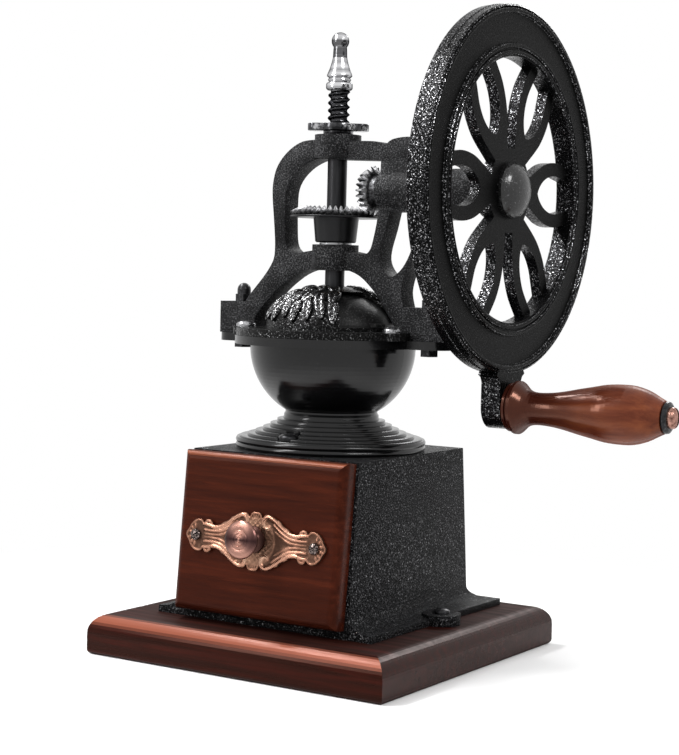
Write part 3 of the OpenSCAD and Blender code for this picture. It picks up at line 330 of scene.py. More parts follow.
def round_edges(name, width):
    """A copy of one of the part's nodes with its sharp edges rounded."""
    copy = copy_node(name, "cast_" + name)
    bpy.ops.object.mode_set(mode="EDIT")
    bpy.ops.mesh.select_all(action="SELECT")
    bpy.ops.mesh.remove_doubles(threshold=0.01 * mm)
    bpy.ops.mesh.dissolve_limited(angle_limit=math.radians(0.5))
    bpy.ops.object.mode_set(mode="OBJECT")
    bpy.ops.object.modifier_add(type="BEVEL")
    rounding = copy.modifiers[-1]
    rounding.width = width
    rounding.segments = 2
    rounding.limit_method = "ANGLE"
    rounding.angle_limit = math.radians(40)
    bpy.ops.object.modifier_apply(modifier=rounding.name)
    bpy.ops.object.shade_smooth_by_angle(angle=math.radians(35))
    return copy


# The lighter stops paint the bead tops as painted glints.
box_stops = [(0.36, tint(2, 2, 2)), (0.5, tint(14, 14, 15)), (0.62, tint(54, 54, 56)), (0.76, tint(190, 190, 192))]
box_paint = beaded_paint_with_painted_glints("beaded black paint", box_stops, 1600.0, 0.63, 0.3, 0.03, 0.4 * mm)
cast_box = round_edges("body_box", 0.8 * mm)
cast_box.data.materials.append(box_paint)
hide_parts("body_box")
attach(cast_box, "frame")


# Section: drawer
# Stained wooden front with a lacquered face, on a plain tray of thin pale boards.

# The drawer front's upper edge is painted lighter as a painted highlight.
drawer_panel = stained_wood("stained drawer front", tint(40, 13, 8), tint(56, 22, 13), tint(76, 32, 19),
                            (24.0, 420.0, 420.0), 0.26, (1.0, 0.46, 0.34, 1.0), gloss=0.12, painted_highlight=tint(140, 76, 50))
dress(drawer_panel, "drawer_front")
tray_wood = stained_wood("tray board", tint(120, 84, 56), tint(164, 124, 86), tint(190, 150, 110),
                         (220.0, 16.0, 220.0), 0.6, (1.0, 1.0, 1.0, 1.0), gloss=0.2)
dress(tray_wood, "drawer_side_left", "drawer_side_right", "drawer_back", "drawer_bottom")


# Section: ornamental plate
# Copper plate cast with double scrolls, shell ends and a latticed middle, dark in its hollows.

front_lean = math.radians(5.68)
face_up = Vector((0.0, math.sin(front_lean), math.cos(front_lean)))
face_out = Vector((0.0, -math.cos(front_lean), math.sin(front_lean)))
plate_seat = Vector((0.0, -53.942 * mm, 52.792 * mm))
plate_thick = 1.1 * mm
plate_screw_x = 29.2
# Upper right quarter of the plate's edge, from the crest to the tip
plate_quarter = [
    (0, 11.9), (1.8, 11.6), (3.2, 9.6), (4.6, 11), (6.6, 11.1), (8.4, 9.2), (11.2, 9.3),
    (13.4, 7.4), (16.2, 6), (19.4, 3.6), (21.4, 3.8), (22.6, 6.2), (24.6, 6.5), (25.8, 5),
    (27.6, 6.3), (30.2, 6), (32.2, 4.2), (33.2, 2.4), (34.5, 0)]
# Ridges of the upper right quarter: the outer scroll, the two under it, and the small curl
scroll = [(7.6, 7.2), (6.7, 5.8), (5.0, 5.7), (4.0, 7.2), (4.3, 9.1), (5.9, 10.3), (8.2, 9.8), (10.8, 8.2),
          (13.6, 6.2), (16.8, 4.5), (20.4, 3.9), (23.4, 4.5), (26.2, 4.6)]
under_scroll = [(8.8, 7.6), (10.8, 6.1), (13.4, 4.4), (16.6, 2.9), (20.2, 2.3), (25.6, 2.4)]
vein = [(9.8, 4.6), (12.8, 2.9), (16.2, 1.3), (20.0, 0.7), (25.2, 0.7)]
curl = [(20.9, 3.6), (21.8, 4.8), (22.7, 5.9), (24.0, 5.9), (24.3, 5.0)]


def draw_ridge(points, thick, height, closed=False):
    """A rounded ridge through points in millimetres, thinner towards its open ends."""
    bpy.ops.object.select_all(action="DESELECT")
    bpy.ops.curve.primitive_bezier_curve_add(location=(0.0, 0.0, 0.0))
    ridge = bpy.context.object
    spline = ridge.data.splines[0]
    spline.bezier_points.add(len(points) - 2)
    for count, (knot, at) in enumerate(zip(spline.bezier_points, points)):
        knot.co = (at[0] * mm, at[1] * mm, height)
        knot.handle_left_type = knot.handle_right_type = "AUTO"
        from_end = min(count, len(points) - 1 - count)
        knot.radius = 1.0 if closed else min(1.0, 0.55 + 0.25 * from_end)
    spline.use_cyclic_u = closed
    ridge.data.dimensions = "3D"
    ridge.data.resolution_u = 5
    ridge.data.bevel_depth = thick
    ridge.data.bevel_resolution = 3
    ridge.data.use_fill_caps = not closed
    bpy.ops.object.convert(target="MESH")
    return bpy.context.object


def all_quarters(points):
    """The same run of points in all four quarters of the plate."""
    return [[(side * x, turn * y) for x, y in points] for side in (1, -1) for turn in (1, -1)]


def joined(name, parts):
    """Joins pieces into one."""
    bpy.ops.object.select_all(action="DESELECT")
    for part in parts:
        part.select_set(True)
    bpy.context.view_layer.objects.active = parts[0]
    bpy.ops.object.join()
    whole = bpy.context.object
    whole.name = name
    return whole


upper = plate_quarter + [(x, -y) for x, y in plate_quarter[-2::-1]]
edge_line = upper + [(-x, y) for x, y in upper[-2:0:-1]]
bpy.ops.object.select_all(action="DESELECT")
bpy.ops.curve.primitive_bezier_curve_add(location=(0.0, 0.0, 0.0))
plate_body = bpy.context.object
spline = plate_body.data.splines[0]
spline.bezier_points.add(len(edge_line) - 2)
for knot, (x, y) in zip(spline.bezier_points, edge_line):
    knot.co = (x * mm, y * mm, plate_thick / 2)
    knot.handle_left_type = knot.handle_right_type = "AUTO"
spline.use_cyclic_u = True
plate_body.data.dimensions = "2D"
plate_body.data.fill_mode = "BOTH"
plate_body.data.extrude = plate_thick / 2
for knot in spline.bezier_points:
    knot.co.z = 0.0
bpy.ops.object.convert(target="MESH")
plate_body = bpy.context.object
plate_body.location.z = plate_thick / 2

plate_parts = [plate_body, draw_ridge([(x * 0.985, y * 0.965) for x, y in edge_line], 0.5 * mm, plate_thick, closed=True)]
for points in all_quarters(scroll):
    plate_parts.append(draw_ridge(points, 0.95 * mm, plate_thick + 0.1 * mm))
for points in all_quarters(under_scroll):
    plate_parts.append(draw_ridge(points, 0.85 * mm, plate_thick))
for points in all_quarters(vein):
    plate_parts.append(draw_ridge(points, 0.7 * mm, plate_thick - 0.1 * mm))
for points in all_quarters(curl):
    plate_parts.append(draw_ridge(points, 0.6 * mm, plate_thick))

# Fan of round lobes behind each screw, and three lobes in each crest
fan_angles = [-75, -45, -15, 15, 45, 75]
for side in (1, -1):
    for angle in fan_angles:
        turn = math.radians(angle)
        start = (plate_screw_x + 1.8 * math.cos(turn), 2.4 * math.sin(turn))
        end = (plate_screw_x + 4.2 * math.cos(turn), 5.2 * math.sin(turn))
        middle = ((start[0] + end[0]) / 2, (start[1] + end[1]) / 2)
        lobe = [(side * x, y) for x, y in (start, middle, end)]
        plate_parts.append(draw_ridge(lobe, 1.0 * mm, plate_thick - 0.2 * mm))
for turn in (1, -1):
    for lean in (-0.9, 0, 0.9):
        lobe = [(lean * 0.6, turn * 7.6), (lean, turn * 9.2), (lean * 1.3, turn * 10.9)]
        plate_parts.append(draw_ridge(lobe, 0.6 * mm, plate_thick))

# Lattice of fine crossing ribs over the middle of the plate
lattice_r = 9.4
lattice_pitch = 1.7
for direction in (45, -45):
    along = Vector((math.cos(math.radians(direction)), math.sin(math.radians(direction))))
    across = Vector((-along.y, along.x))
    for count in range(-5, 6):
        offset = count * lattice_pitch
        half = math.sqrt(lattice_r ** 2 - offset ** 2)
        line = [tuple(across * offset + along * reach) for reach in (-half, 0.0, half)]
        plate_parts.append(draw_ridge(line, 0.3 * mm, plate_thick + 0.25 * mm))
bpy.ops.object.select_all(action="DESELECT")
bpy.ops.mesh.primitive_cylinder_add(vertices=64, radius=9.8 * mm, depth=1.4 * mm, location=(0.0, 0.0, 0.7 * mm))
disc = bpy.context.object
plate_parts.append(disc)

ornate_plate = joined("ornate_plate", plate_parts)
bpy.ops.object.transform_apply(location=True, rotation=True, scale=True)
bpy.ops.object.modifier_add(type="REMESH")
fuse = ornate_plate.modifiers[-1]
fuse.mode = "VOXEL"
fuse.voxel_size = 0.2 * mm
bpy.ops.object.modifier_apply(modifier=fuse.name)
bpy.ops.object.modifier_add(type="SMOOTH")
soften = ornate_plate.modifiers[-1]
soften.factor = 0.5
soften.iterations = 2
bpy.ops.object.modifier_apply(modifier=soften.name)
bpy.ops.object.modifier_add(type="DECIMATE")
thin_out = ornate_plate.modifiers[-1]
thin_out.ratio = 0.35
bpy.ops.object.modifier_apply(modifier=thin_out.name)
ornate_plate.matrix_world = Matrix.Translation(plate_seat) @ Matrix(((1, 0, 0), face_up, face_out)).transposed().to_4x4()
bpy.ops.object.transform_apply(location=True, rotation=True, scale=True)
bpy.ops.object.shade_smooth()

plate_finish, tree = new_finish("antique copper plate", 0.34, metal=1.0)
here = placed(tree, centre=plate_seat)
height = step(tree, "VectorMath", {0: here, 1: face_out}, operation="DOT_PRODUCT").outputs["Value"]
distance = step(tree, "VectorMath", {0: here}, operation="LENGTH").outputs["Value"]
patches = mottle(tree, here, 420.0, detail=4.0)
raised = step(tree, "Math", {0: spread(tree, height, 1.15 * mm, 1.9 * mm), 1: spread(tree, patches, 0.25, 0.75, -0.25, 0.25)},
              operation="ADD").outputs[0]
copper = ramp(tree, raised, [(0.0, tint(84, 56, 44)), (0.35, tint(126, 88, 71)), (0.9, tint(172, 128, 107))])
gold = ramp(tree, raised, [(0.0, tint(84, 60, 49)), (0.45, tint(140, 106, 87)), (1.0, tint(186, 148, 125))])
on_ridge = step(tree, "Math", {0: spread(tree, distance, 9.0 * mm, 10.5 * mm),
                               1: spread(tree, height, 1.2 * mm, 1.5 * mm)}, operation="MULTIPLY").outputs[0]
feed(tree, "Base Color", mixed(tree, on_ridge, gold, copper))
feed(tree, "Roughness", spread(tree, raised, 0.0, 1.0, 0.55, 0.27))
feed(tree, "Normal", raise_surface(tree, mottle(tree, here, 1500.0), 0.6, 0.15 * mm))
ornate_plate.data.materials.clear()
ornate_plate.data.materials.append(plate_finish)
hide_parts("escutcheon")
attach(ornate_plate, "drawer")


# Section: knob and plate screws
# Knob turned from the same copper, with the fine rings of the tool on its face, its face painted lighter above and
# below the middle as a painted reflection and its neck darker as painted shade, and dark cross-head screws with
# painted glints.

def turn_outline(name, outline, steps):
    """A piece turned about the upright axis from radius and height in millimetres."""
    bpy.ops.object.select_all(action="DESELECT")
    bpy.ops.mesh.primitive_circle_add(vertices=len(outline), radius=1.0, location=(0.0, 0.0, 0.0))
    made = bpy.context.object
    made.name = name
    for corner, (reach, rise) in zip(made.data.vertices, outline):
        corner.co = (reach * mm, 0.0, rise * mm)
    bpy.ops.object.mode_set(mode="EDIT")
    bpy.ops.mesh.select_all(action="SELECT")
    bpy.ops.mesh.spin(steps=steps, angle=2 * math.pi, center=(0.0, 0.0, 0.0), axis=(0.0, 0.0, 1.0))
    bpy.ops.mesh.select_all(action="SELECT")
    bpy.ops.mesh.remove_doubles(threshold=0.005 * mm)
    bpy.ops.mesh.delete_loose()
    bpy.ops.mesh.select_all(action="SELECT")
    bpy.ops.mesh.normals_make_consistent(inside=False)
    bpy.ops.object.mode_set(mode="OBJECT")
    made.data.materials.clear()
    return made


knob_centre = plate_seat + face_up * 0.8 * mm
knob_copper, tree = new_finish("turned copper knob", 0.3, metal=1.0)
here = placed(tree, centre=knob_centre)
out = step(tree, "VectorMath", {0: here, 1: face_out}, operation="DOT_PRODUCT").outputs["Value"]
flat = step(tree, "VectorMath", {0: here, 1: here}, operation="DOT_PRODUCT").outputs["Value"]
out_squared = step(tree, "Math", {0: out, 1: out}, operation="MULTIPLY").outputs[0]
radius = step(tree, "Math", {0: step(tree, "Math", {0: flat, 1: out_squared}, operation="SUBTRACT").outputs[0]},
              operation="SQRT").outputs[0]
rings = step(tree, "Math", {0: step(tree, "Math", {0: radius, 1: 2 * math.pi / (0.45 * mm)}, operation="MULTIPLY").outputs[0]},
             operation="SINE").outputs[0]
patches = mottle(tree, here, 260.0, detail=3.0)
# The face is painted lighter above and below its middle and darker at its sides: a painted reflection of turned
# metal.
upward = step(tree, "VectorMath", {0: here, 1: face_up}, operation="DOT_PRODUCT").outputs["Value"]
slope = step(tree, "Math", {0: upward, 1: radius}, operation="DIVIDE").outputs[0]
brushing_and_painted_sheen = step(tree, "Math", {0: slope}, operation="ABSOLUTE").outputs[0]
painted_sheen_and_patches = step(tree, "Math", {0: patches, 1: 0.25, 2: brushing_and_painted_sheen}, operation="MULTIPLY_ADD").outputs[0]
shade = step(tree, "Math", {0: rings, 1: 0.06, 2: painted_sheen_and_patches}, operation="MULTIPLY_ADD").outputs[0]
face = ramp(tree, shade, [(0.15, tint(54, 36, 36)), (0.6, tint(104, 74, 69)), (1.0, tint(160, 119, 106))])
# The neck behind the face is painted darker as painted shade.
feed(tree, "Base Color", mixed(tree, spread(tree, out, 8.6 * mm, 9.6 * mm), tint(62, 42, 38), face))
feed(tree, "Roughness", spread(tree, patches, 0.3, 0.7, 0.28, 0.38))
feed(tree, "Normal", raise_surface(tree, rings, 0.2, 0.04 * mm))
# Radius and height of the turned outline, from the middle of the face to the foot
knob_outline = [
    (0, 12.5), (0.9, 12.5), (1.1, 12.3), (1.3, 12.5), (2.3, 12.4), (2.5, 12.2), (2.7, 12.4), (3.8, 12.3),
    (4.0, 12.1), (4.2, 12.2), (6.2, 12.0), (7.0, 11.7), (7.6, 11.2), (7.8, 10.6), (7.5, 9.9), (6.6, 9.3),
    (4.8, 8.2), (3.6, 7.0), (3.2, 5.6), (3.4, 3.9), (4.2, 3.0), (5.4, 2.6), (5.6, 1.9), (0, 1.9)]
turned_knob = turn_outline("turned_knob", knob_outline, 64)
turned_knob.matrix_world = (Matrix.Translation(knob_centre)
                            @ Matrix(((1, 0, 0), face_up, face_out)).transposed().to_4x4())
bpy.ops.object.transform_apply(location=True, rotation=True, scale=True)
bpy.ops.object.shade_smooth_by_angle(angle=math.radians(35))
turned_knob.data.materials.append(knob_copper)
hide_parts("drawer_knob")
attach(turned_knob, "drawer")

dark_screw, tree = new_finish("dark cross screw", 0.26, metal=0.9)
wear = mottle(tree, placed(tree), 1500.0, detail=3.0)
# Light specks on the dark heads are painted glints.
feed(tree, "Base Color", ramp(tree, wear, [(0.45, tint(30, 25, 24)), (0.72, tint(170, 152, 146))]))
feed(tree, "Normal", raise_surface(tree, wear, 0.2, 0.06 * mm))
dress(dark_screw, "escutcheon_screws")


# Section: bowl
# Cast iron bowl on a stepped foot, under a smooth satin black enamel.

bowl_black, tree = new_finish("satin black enamel", 0.18, gloss=0.38)
here = placed(tree)
cloud = mottle(tree, here, 60.0, detail=2.0)
pits = mottle(tree, here, 1300.0, detail=2.0)
feed(tree, "Base Color", mixed(tree, spread(tree, pits, 0.68, 0.76), tint(8, 8, 9), tint(46, 46, 48)))
feed(tree, "Roughness", spread(tree, cloud, 0.3, 0.7, 0.14, 0.22))
feed(tree, "Normal", raise_surface(tree, pits, 0.12, 0.08 * mm, raise_surface(tree, cloud, 0.1, 0.4 * mm)))
dress(bowl_black, "hopper_bowl")

# The stepped foot again, turned with soft edges so that each ring takes a line of light, in millimetres
skin = 0.15
foot_r = 40.0
foot_h = 15.5
neck_r = 19.7
rim_h = 4.5
rim_bulge = 0.5
ring_count = 7
screw_seat = (32.0, 4.8, 4.6)
quarter_turn = [math.radians(angle) for angle in (0, 22.5, 45, 67.5, 90)]


def foot_ring(number):
    """Radius and height of one ring of the foot, counted from its rim."""
    part = number / (ring_count - 1)
    reach = foot_r - 1 + (neck_r + 1.6 - foot_r) * (1.12 * part - 0.12 * part ** 2)
    rise = rim_h + 0.6 + (foot_h - rim_h - 1.5) * (0.66 * part + 0.34 * part ** 2)
    return reach + skin, rise + skin


foot_outline = [(neck_r - 1.2, 0.2)]
for bead in (0, 1):
    for turn in range(0, 181, 20):
        up = (bead + turn / 180) * (rim_h + skin - 0.2) / 2
        foot_outline.append((foot_r + skin + rim_bulge * math.sin(math.radians(turn)), 0.2 + up))
below = rim_h + skin
for number in range(ring_count):
    reach, rise = foot_ring(number)
    soft = 0.75 * (rise - below)
    foot_outline.append((reach, below))
    for turn in quarter_turn:
        foot_outline.append((reach - soft + soft * math.cos(turn), rise - soft + soft * math.sin(turn)))
    below = rise
foot_outline.append((neck_r - 1.2, below))


foot_rings = turn_outline("foot_rings", foot_outline, 128)
foot_rings.location.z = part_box("hopper_bowl")[0].z
bpy.ops.object.transform_apply(location=True, rotation=True, scale=True)
seat_reach, seat_r, seat_low = screw_seat
for side in (1, -1):
    bpy.ops.object.select_all(action="DESELECT")
    bpy.ops.mesh.primitive_cylinder_add(vertices=48, radius=seat_r * mm, depth=foot_h * mm)
    cutter = bpy.context.object
    cutter.location = (0.0, side * seat_reach * mm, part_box("hopper_bowl")[0].z + (seat_low + foot_h / 2) * mm)
    bpy.ops.object.select_all(action="DESELECT")
    foot_rings.select_set(True)
    bpy.context.view_layer.objects.active = foot_rings
    bpy.ops.object.modifier_add(type="BOOLEAN")
    cut = foot_rings.modifiers[-1]
    cut.operation = "DIFFERENCE"
    cut.object = cutter
    bpy.ops.object.modifier_apply(modifier=cut.name)
    bpy.data.objects.remove(cutter)
bpy.ops.object.shade_smooth_by_angle(angle=math.radians(35))
foot_rings.data.materials.clear()
foot_rings.data.materials.append(bowl_black)
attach(foot_rings, "frame")


# Section: cover with its dome
# Cast cover whose dome is carved with rows of leaves beside a plain window, with more glints painted on the backs of
# the leaves as painted highlights.

dome_low = 138.0 * mm
dome_r = 29.0 * mm
dome_h = 18.5 * mm
window_from = -52
window_to = 12
carved_from = window_to + 7
carved_to = 360 + window_from - 6


def on_dome(angle, rise):
    """Place on the dome and its outward direction. Rise is the ellipse's own angle, in degrees as is angle."""
    a, t = math.radians(angle), math.radians(rise)
    place = Vector((dome_r * math.cos(t) * math.cos(a), dome_r * math.cos(t) * math.sin(a), dome_low + dome_h * math.sin(t)))
    out = Vector((math.cos(t) * math.cos(a) / dome_r, math.cos(t) * math.sin(a) / dome_r, math.sin(t) / dome_h))
    return place, out.normalized()


def carve_leaf(length, width, thick):
    """One leaf, wide above and narrow below, with a groove down its back."""
    bpy.ops.object.select_all(action="DESELECT")
    bpy.ops.mesh.primitive_uv_sphere_add(segments=16, ring_count=10, radius=0.5, location=(0.0, 0.0, 0.0))
    leaf = bpy.context.object
    leaf.scale = (width, length, thick * 2)
    bpy.ops.object.transform_apply(location=False, rotation=False, scale=True)
    for corner in leaf.data.vertices:
        down = 0.5 - corner.co.y / length
        corner.co.x *= 1.08 - 0.5 * down
        middle = max(0.0, 1.0 - abs(corner.co.x) / (0.22 * width))
        if corner.co.z > 0:
            corner.co.z -= 0.45 * middle * corner.co.z
    return leaf


def lay_leaf(leaf, angle, rise, slant):
    """A copy of the leaf, laid on the dome with its length down the slope, turned by slant."""
    bpy.ops.object.select_all(action="DESELECT")
    leaf.select_set(True)
    bpy.context.view_layer.objects.active = leaf
    bpy.ops.object.duplicate()
    copy = bpy.context.object
    place, out = on_dome(angle, rise)
    side = Vector((0.0, 0.0, 1.0)).cross(out).normalized()
    uphill = out.cross(side)
    turn = Matrix((side, uphill, out)).transposed().to_4x4() @ Matrix.Rotation(math.radians(slant), 4, "Z")
    copy.matrix_world = Matrix.Translation(place) @ turn
    bpy.ops.object.transform_apply(location=True, rotation=True, scale=True)
    return copy


# Rows as rise on the dome, angle between leaves, leaf length, width, thickness and slant
leaf_rows = [(27.0, 12.0, 12.0, 6.6, 1.8, 8.0), (47.0, 15.5, 11.0, 7.2, 1.8, -8.0), (66.0, 24.0, 8.0, 6.6, 1.7, 8.0)]
leaves = []
for rise, pitch, length, width, thick, slant in leaf_rows:
    pattern = carve_leaf(length * mm, width * mm, thick * mm)
    count = int((carved_to - carved_from) / pitch)
    for number in range(count + 1):
        angle = carved_from + (carved_to - carved_from) * number / count
        sway = math.sin(2.3 * number + rise)
        leaves.append(lay_leaf(pattern, angle, rise + 3.0 * sway, slant * (1.0 + 0.8 * sway)))
    bpy.data.objects.remove(pattern)
dome_leaves = joined("dome_leaves", leaves)
bpy.ops.object.modifier_add(type="SUBSURF")
dome_leaves.modifiers[-1].levels = 1
dome_leaves.modifiers[-1].render_levels = 1
bpy.ops.object.modifier_apply(modifier=dome_leaves.modifiers[-1].name)
bpy.ops.object.shade_smooth()

def leaf_back_painted_glints(tree):
    """Below zero on the backs of the leaves, where more and brighter glints are painted as a painted highlight, and a
    little above it elsewhere.
    """
    here = placed(tree, stretch=(1 / dome_r, 1 / dome_r, 1 / dome_h), centre=(0.0, 0.0, dome_low))
    swell = step(tree, "VectorMath", {0: here}, operation="LENGTH").outputs["Value"]
    painted_highlight = step(tree, "Math", {0: spread(tree, swell, 1.01, 1.045), 1: spread(tree, swell, 1.12, 1.16)},
                  operation="SUBTRACT").outputs[0]
    return spread(tree, painted_highlight, 0.0, 1.0, 0.03, -0.07)


# The lighter stops paint the bead tops as painted glints, more of them on the backs of the leaves.
cover_stops = [(0.42, tint(6, 6, 6)), (0.54, tint(30, 30, 30)), (0.64, tint(104, 104, 105)), (0.76, tint(230, 230, 231))]
cover_cast = beaded_paint_with_painted_glints("dark casting with painted glints", cover_stops, 1400.0, 0.5, 0.24, 0.08, 0.2 * mm, calm=leaf_back_painted_glints)
dress(cover_cast, "hopper_cover")
dome_leaves.data.materials.clear()
dome_leaves.data.materials.append(cover_cast)
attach(dome_leaves, "frame")


# Section: hatch
# Smooth matt plate that slides round inside the dome.

hatch_grey, tree = new_finish("matt hatch", 0.4, gloss=0.2)
grit = mottle(tree, placed(tree), 1500.0, detail=2.0)
feed(tree, "Base Color", ramp(tree, grit, [(0.4, tint(18, 18, 18)), (0.62, tint(40, 40, 40)), (0.75, tint(100, 100, 100))]))
feed(tree, "Normal", raise_surface(tree, grit, 0.4, 0.15 * mm))
dress(hatch_grey, "hopper_hatch")


# Section: bridge
# Cast iron bridge in matt black-grey, with the fine grain of the sand mould and softly rounded edges.

cast_bridge = round_edges("bridge", 0.9 * mm)
bridge_iron, tree = new_finish("grained cast iron", 0.4, gloss=0.08)
grain = mottle(tree, placed(tree), 1600.0, detail=2.0, roughness=0.7)
patches = mottle(tree, placed(tree), 90.0, detail=3.0)
tone = step(tree, "Math", {0: patches, 1: 0.3, 2: grain}, operation="MULTIPLY_ADD").outputs[0]
feed(tree, "Base Color", ramp(tree, tone, [(0.45, tint(8, 8, 9)), (0.68, tint(32, 32, 33)), (0.88, tint(112, 112, 114))]))
feed(tree, "Roughness", spread(tree, grain, 0.3, 0.7, 0.6, 0.4))
feed(tree, "Normal", raise_surface(tree, grain, 0.6, 0.2 * mm))
cast_bridge.data.materials.append(bridge_iron)
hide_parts("bridge")
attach(cast_bridge, "frame")


# Section: shafts, bushes and inner steel
# Dark oiled shafts in bronze bushes, and bright steel burrs, washers, spring, pins and ball.

dark_steel, tree = new_finish("oiled dark steel", 0.36, metal=0.8)
turned = mottle(tree, placed(tree, stretch=(500.0, 500.0, 60.0)), 1.0, detail=3.0)
feed(tree, "Base Color", ramp(tree, turned, [(0.3, tint(30, 30, 31)), (0.7, tint(50, 50, 52))]))
feed(tree, "Normal", raise_surface(tree, turned, 0.15, 0.05 * mm))
dress(dark_steel, "main_shaft", "wheel_shaft")

bright_steel, tree = new_finish("bright steel", 0.28, metal=1.0)
brushing_and_painted_sheen = mottle(tree, placed(tree, stretch=(300.0, 300.0, 1800.0)), 1.0, detail=3.0)
feed(tree, "Base Color", ramp(tree, brushing_and_painted_sheen, [(0.3, tint(120, 120, 122)), (0.7, tint(186, 186, 188))]))
feed(tree, "Normal", raise_surface(tree, brushing_and_painted_sheen, 0.15, 0.05 * mm))
dress(bright_steel, "gear_pin", "pinion_pin", "spring_washer", "burr_ring", "burr_cone",
      "burr_washer", "burr_nut", "thrust_ball", "knob_screw")

# The coil spring, which shortens by the lift of the shaft towards its lower end, copied with a mesh of its own
coil = copy_node("burr_spring", "coil_spring")
coil.data.materials.append(bright_steel)
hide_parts("burr_spring")
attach(coil, "frame")
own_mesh(coil)

bush_bronze, tree = new_finish("bronze bush", 0.35, metal=1.0)
brushing_and_painted_sheen = mottle(tree, placed(tree, stretch=(300.0, 300.0, 1200.0)), 1.0, detail=3.0)
feed(tree, "Base Color", ramp(tree, brushing_and_painted_sheen, [(0.3, tint(120, 84, 44)), (0.7, tint(186, 140, 84))]))
feed(tree, "Normal", raise_surface(tree, brushing_and_painted_sheen, 0.15, 0.05 * mm))
dress(bush_bronze, "shaft_bush", "wheel_bush_inner", "wheel_bush_outer")


# Section: bevel gears
# Dark steel gears whose teeth are painted lighter towards their tips, partly as wear and partly as painted highlight.

crown_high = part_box("crown_gear")[1]
crown_steel, tree = new_finish("large gear", 0.34, metal=0.9)
here = placed(tree)
apart = step(tree, "SeparateXYZ", {0: here})
wear = mottle(tree, here, 700.0, detail=3.0)
# Lighter towards the tooth tips: partly wear, partly a painted highlight.
level = spread(tree, apart.outputs["Z"], crown_high.z - 3.4 * mm, crown_high.z - 0.8 * mm)
tip = step(tree, "Math", {0: level, 1: spread(tree, wear, 0.25, 0.75, -0.3, 0.3)}, operation="ADD").outputs[0]
feed(tree, "Base Color", ramp(tree, tip, [(0.25, tint(42, 42, 43)), (0.55, tint(96, 96, 98)), (0.9, tint(220, 220, 222))]))
feed(tree, "Normal", raise_surface(tree, mottle(tree, here, 1500.0), 0.3, 0.1 * mm))
dress(crown_steel, "crown_gear")

wheel_axis_z = 196.7 * mm
pinion_steel, tree = new_finish("small gear", 0.34, metal=0.9)
here = placed(tree, stretch=(0.0, 1.0, 1.0), centre=(0.0, 0.0, wheel_axis_z))
off_axis = step(tree, "VectorMath", {0: here}, operation="LENGTH").outputs["Value"]
wear = mottle(tree, placed(tree), 700.0, detail=3.0)
# Lighter towards the tooth tips: partly wear, partly a painted highlight.
level = spread(tree, off_axis, 6.2 * mm, 9.4 * mm)
tip = step(tree, "Math", {0: level, 1: spread(tree, wear, 0.25, 0.75, -0.3, 0.3)}, operation="ADD").outputs[0]
feed(tree, "Base Color", ramp(tree, tip, [(0.25, tint(26, 26, 27)), (0.6, tint(80, 80, 82)), (0.95, tint(226, 226, 228))]))
feed(tree, "Normal", raise_surface(tree, mottle(tree, placed(tree), 1500.0), 0.3, 0.1 * mm))
dress(pinion_steel, "pinion")


# Section: flywheel
# Cast wheel in gloss black paint, beaded all over its turned faces and plain on its flat side, the bead tops painted
# light as painted glints.

def flat_side(tree):
    """High on the wheel's flat side faces and zero on its turned and inner faces."""
    facing = step(tree, "SeparateXYZ", {0: step(tree, "NewGeometry").outputs["Normal"]}).outputs["X"]
    on_side = step(tree, "Math", {0: facing}, operation="ABSOLUTE").outputs[0]
    return spread(tree, on_side, 0.8, 0.97, 0.0, 0.15)


# The lighter stops paint the bead tops as painted glints.
wheel_stops = [(0.42, tint(3, 3, 3)), (0.54, tint(22, 22, 23)), (0.62, tint(84, 84, 86)), (0.74, tint(236, 236, 238))]
wheel_paint = beaded_paint_with_painted_glints("beaded gloss black", wheel_stops, 1600.0, 0.48, 0.2, 0.035, 0.14 * mm, calm=flat_side)
dress(wheel_paint, "flywheel")

# The lighter stops paint the bead tops as painted glints.
cap_stops = [(0.48, tint(3, 3, 3)), (0.62, tint(22, 22, 23)), (0.78, tint(130, 130, 132))]
cap_paint = beaded_paint_with_painted_glints("hammered black cap", cap_stops, 1100.0, 0.7, 0.2, 0.55, 0.08 * mm)
dress(cap_paint, "hub_cap")


# Section: handle
# Turned hardwood grip with orange-brown figure, darker towards the wheel, on a bolt with a copper head.

grip_wood = stained_wood("turned grip", tint(80, 31, 20), tint(110, 54, 35), tint(140, 76, 46),
                         (30.0, 260.0, 260.0), 0.18, (1.0, 0.5, 0.36, 1.0), gloss=0.5)
tree = grip_wood.node_tree
figure = tree.nodes["Principled BSDF"].inputs["Base Color"].links[0].from_socket
inner_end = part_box("handle_grip")[0].x
along = step(tree, "SeparateXYZ", {0: placed(tree)}).outputs["X"]
darker = spread(tree, along, inner_end + 5 * mm, inner_end + 48 * mm, 0.9, 0.0)
feed(tree, "Base Color", mixed(tree, darker, figure, tint(36, 10, 8)))
dress(grip_wood, "handle_grip")

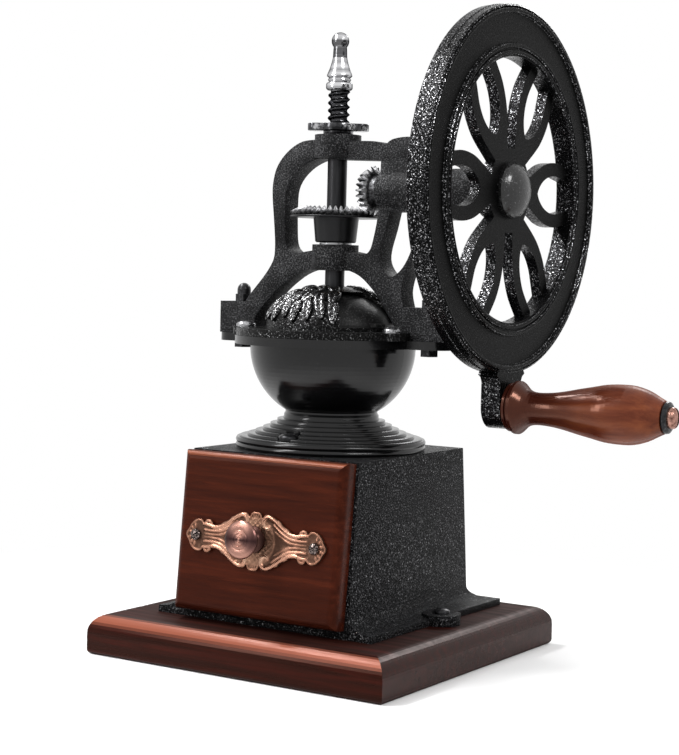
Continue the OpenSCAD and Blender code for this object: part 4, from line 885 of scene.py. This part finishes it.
copper_bright, tree = new_finish("bright copper head", 0.25, metal=1.0)
wear = mottle(tree, placed(tree), 900.0, detail=3.0)
feed(tree, "Base Color", ramp(tree, wear, [(0.3, tint(96, 66, 56)), (0.6, tint(176, 134, 120))]))
feed(tree, "Normal", raise_surface(tree, wear, 0.2, 0.06 * mm))
dress(copper_bright, "handle_bolt")


# Section: adjusting screw and lock nut
# Polished dark nickel finial on a black thread, its neck painted darker as painted shade, with a lock nut that has
# two bent ears and bright patches, partly wear and partly painted highlight.

thread_top = 239.2 * mm
neck_low = 252.5 * mm
neck_high = 260.0 * mm
blend = 0.6 * mm
nickel_dark, tree = new_finish("polished dark nickel", 0.16, metal=1.0)
tree.nodes["Principled BSDF"].inputs["Specular Tint"].default_value = tint(28, 28, 29)
here = placed(tree)
rise = step(tree, "SeparateXYZ", {0: here}).outputs["Z"]
turned = mottle(tree, placed(tree, stretch=(40.0, 40.0, 620.0)), 1.0, detail=3.0)
bare = ramp(tree, turned, [(0.3, tint(150, 150, 152)), (0.65, tint(222, 222, 224))])
# The neck between head and collar is painted darker as painted shade.
neck_painted_shade = ramp(tree, turned, [(0.3, tint(70, 70, 71)), (0.65, tint(118, 118, 120))])
over_neck = spread(tree, rise, neck_high, neck_high + blend)
on_neck = step(tree, "Math", {0: spread(tree, rise, neck_low, neck_low + blend), 1: over_neck},
               operation="SUBTRACT").outputs[0]
head = mixed(tree, on_neck, bare, neck_painted_shade)
on_head = spread(tree, rise, thread_top - blend, thread_top + blend)
feed(tree, "Base Color", mixed(tree, on_head, tint(66, 66, 68), head))
feed(tree, "Normal", raise_surface(tree, mottle(tree, here, 1400.0), 0.05, 0.05 * mm))
dress(nickel_dark, "adjusting_screw")

nut_black, tree = new_finish("black nickel nut with wear and painted highlights", 0.2, metal=1.0)
# Bright patches on the dark nut are partly wear and partly painted highlight.
wear = mottle(tree, placed(tree), 210.0, detail=3.0)
feed(tree, "Base Color", ramp(tree, wear, [(0.35, tint(34, 34, 35)), (0.55, tint(80, 80, 82)), (0.68, tint(210, 210, 212))]))
feed(tree, "Normal", raise_surface(tree, mottle(tree, placed(tree), 1400.0), 0.1, 0.05 * mm))
cast_nut = round_edges("lock_nut", 0.35 * mm)
cast_nut.data.materials.append(nut_black)
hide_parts("lock_nut")
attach(cast_nut, "nut")
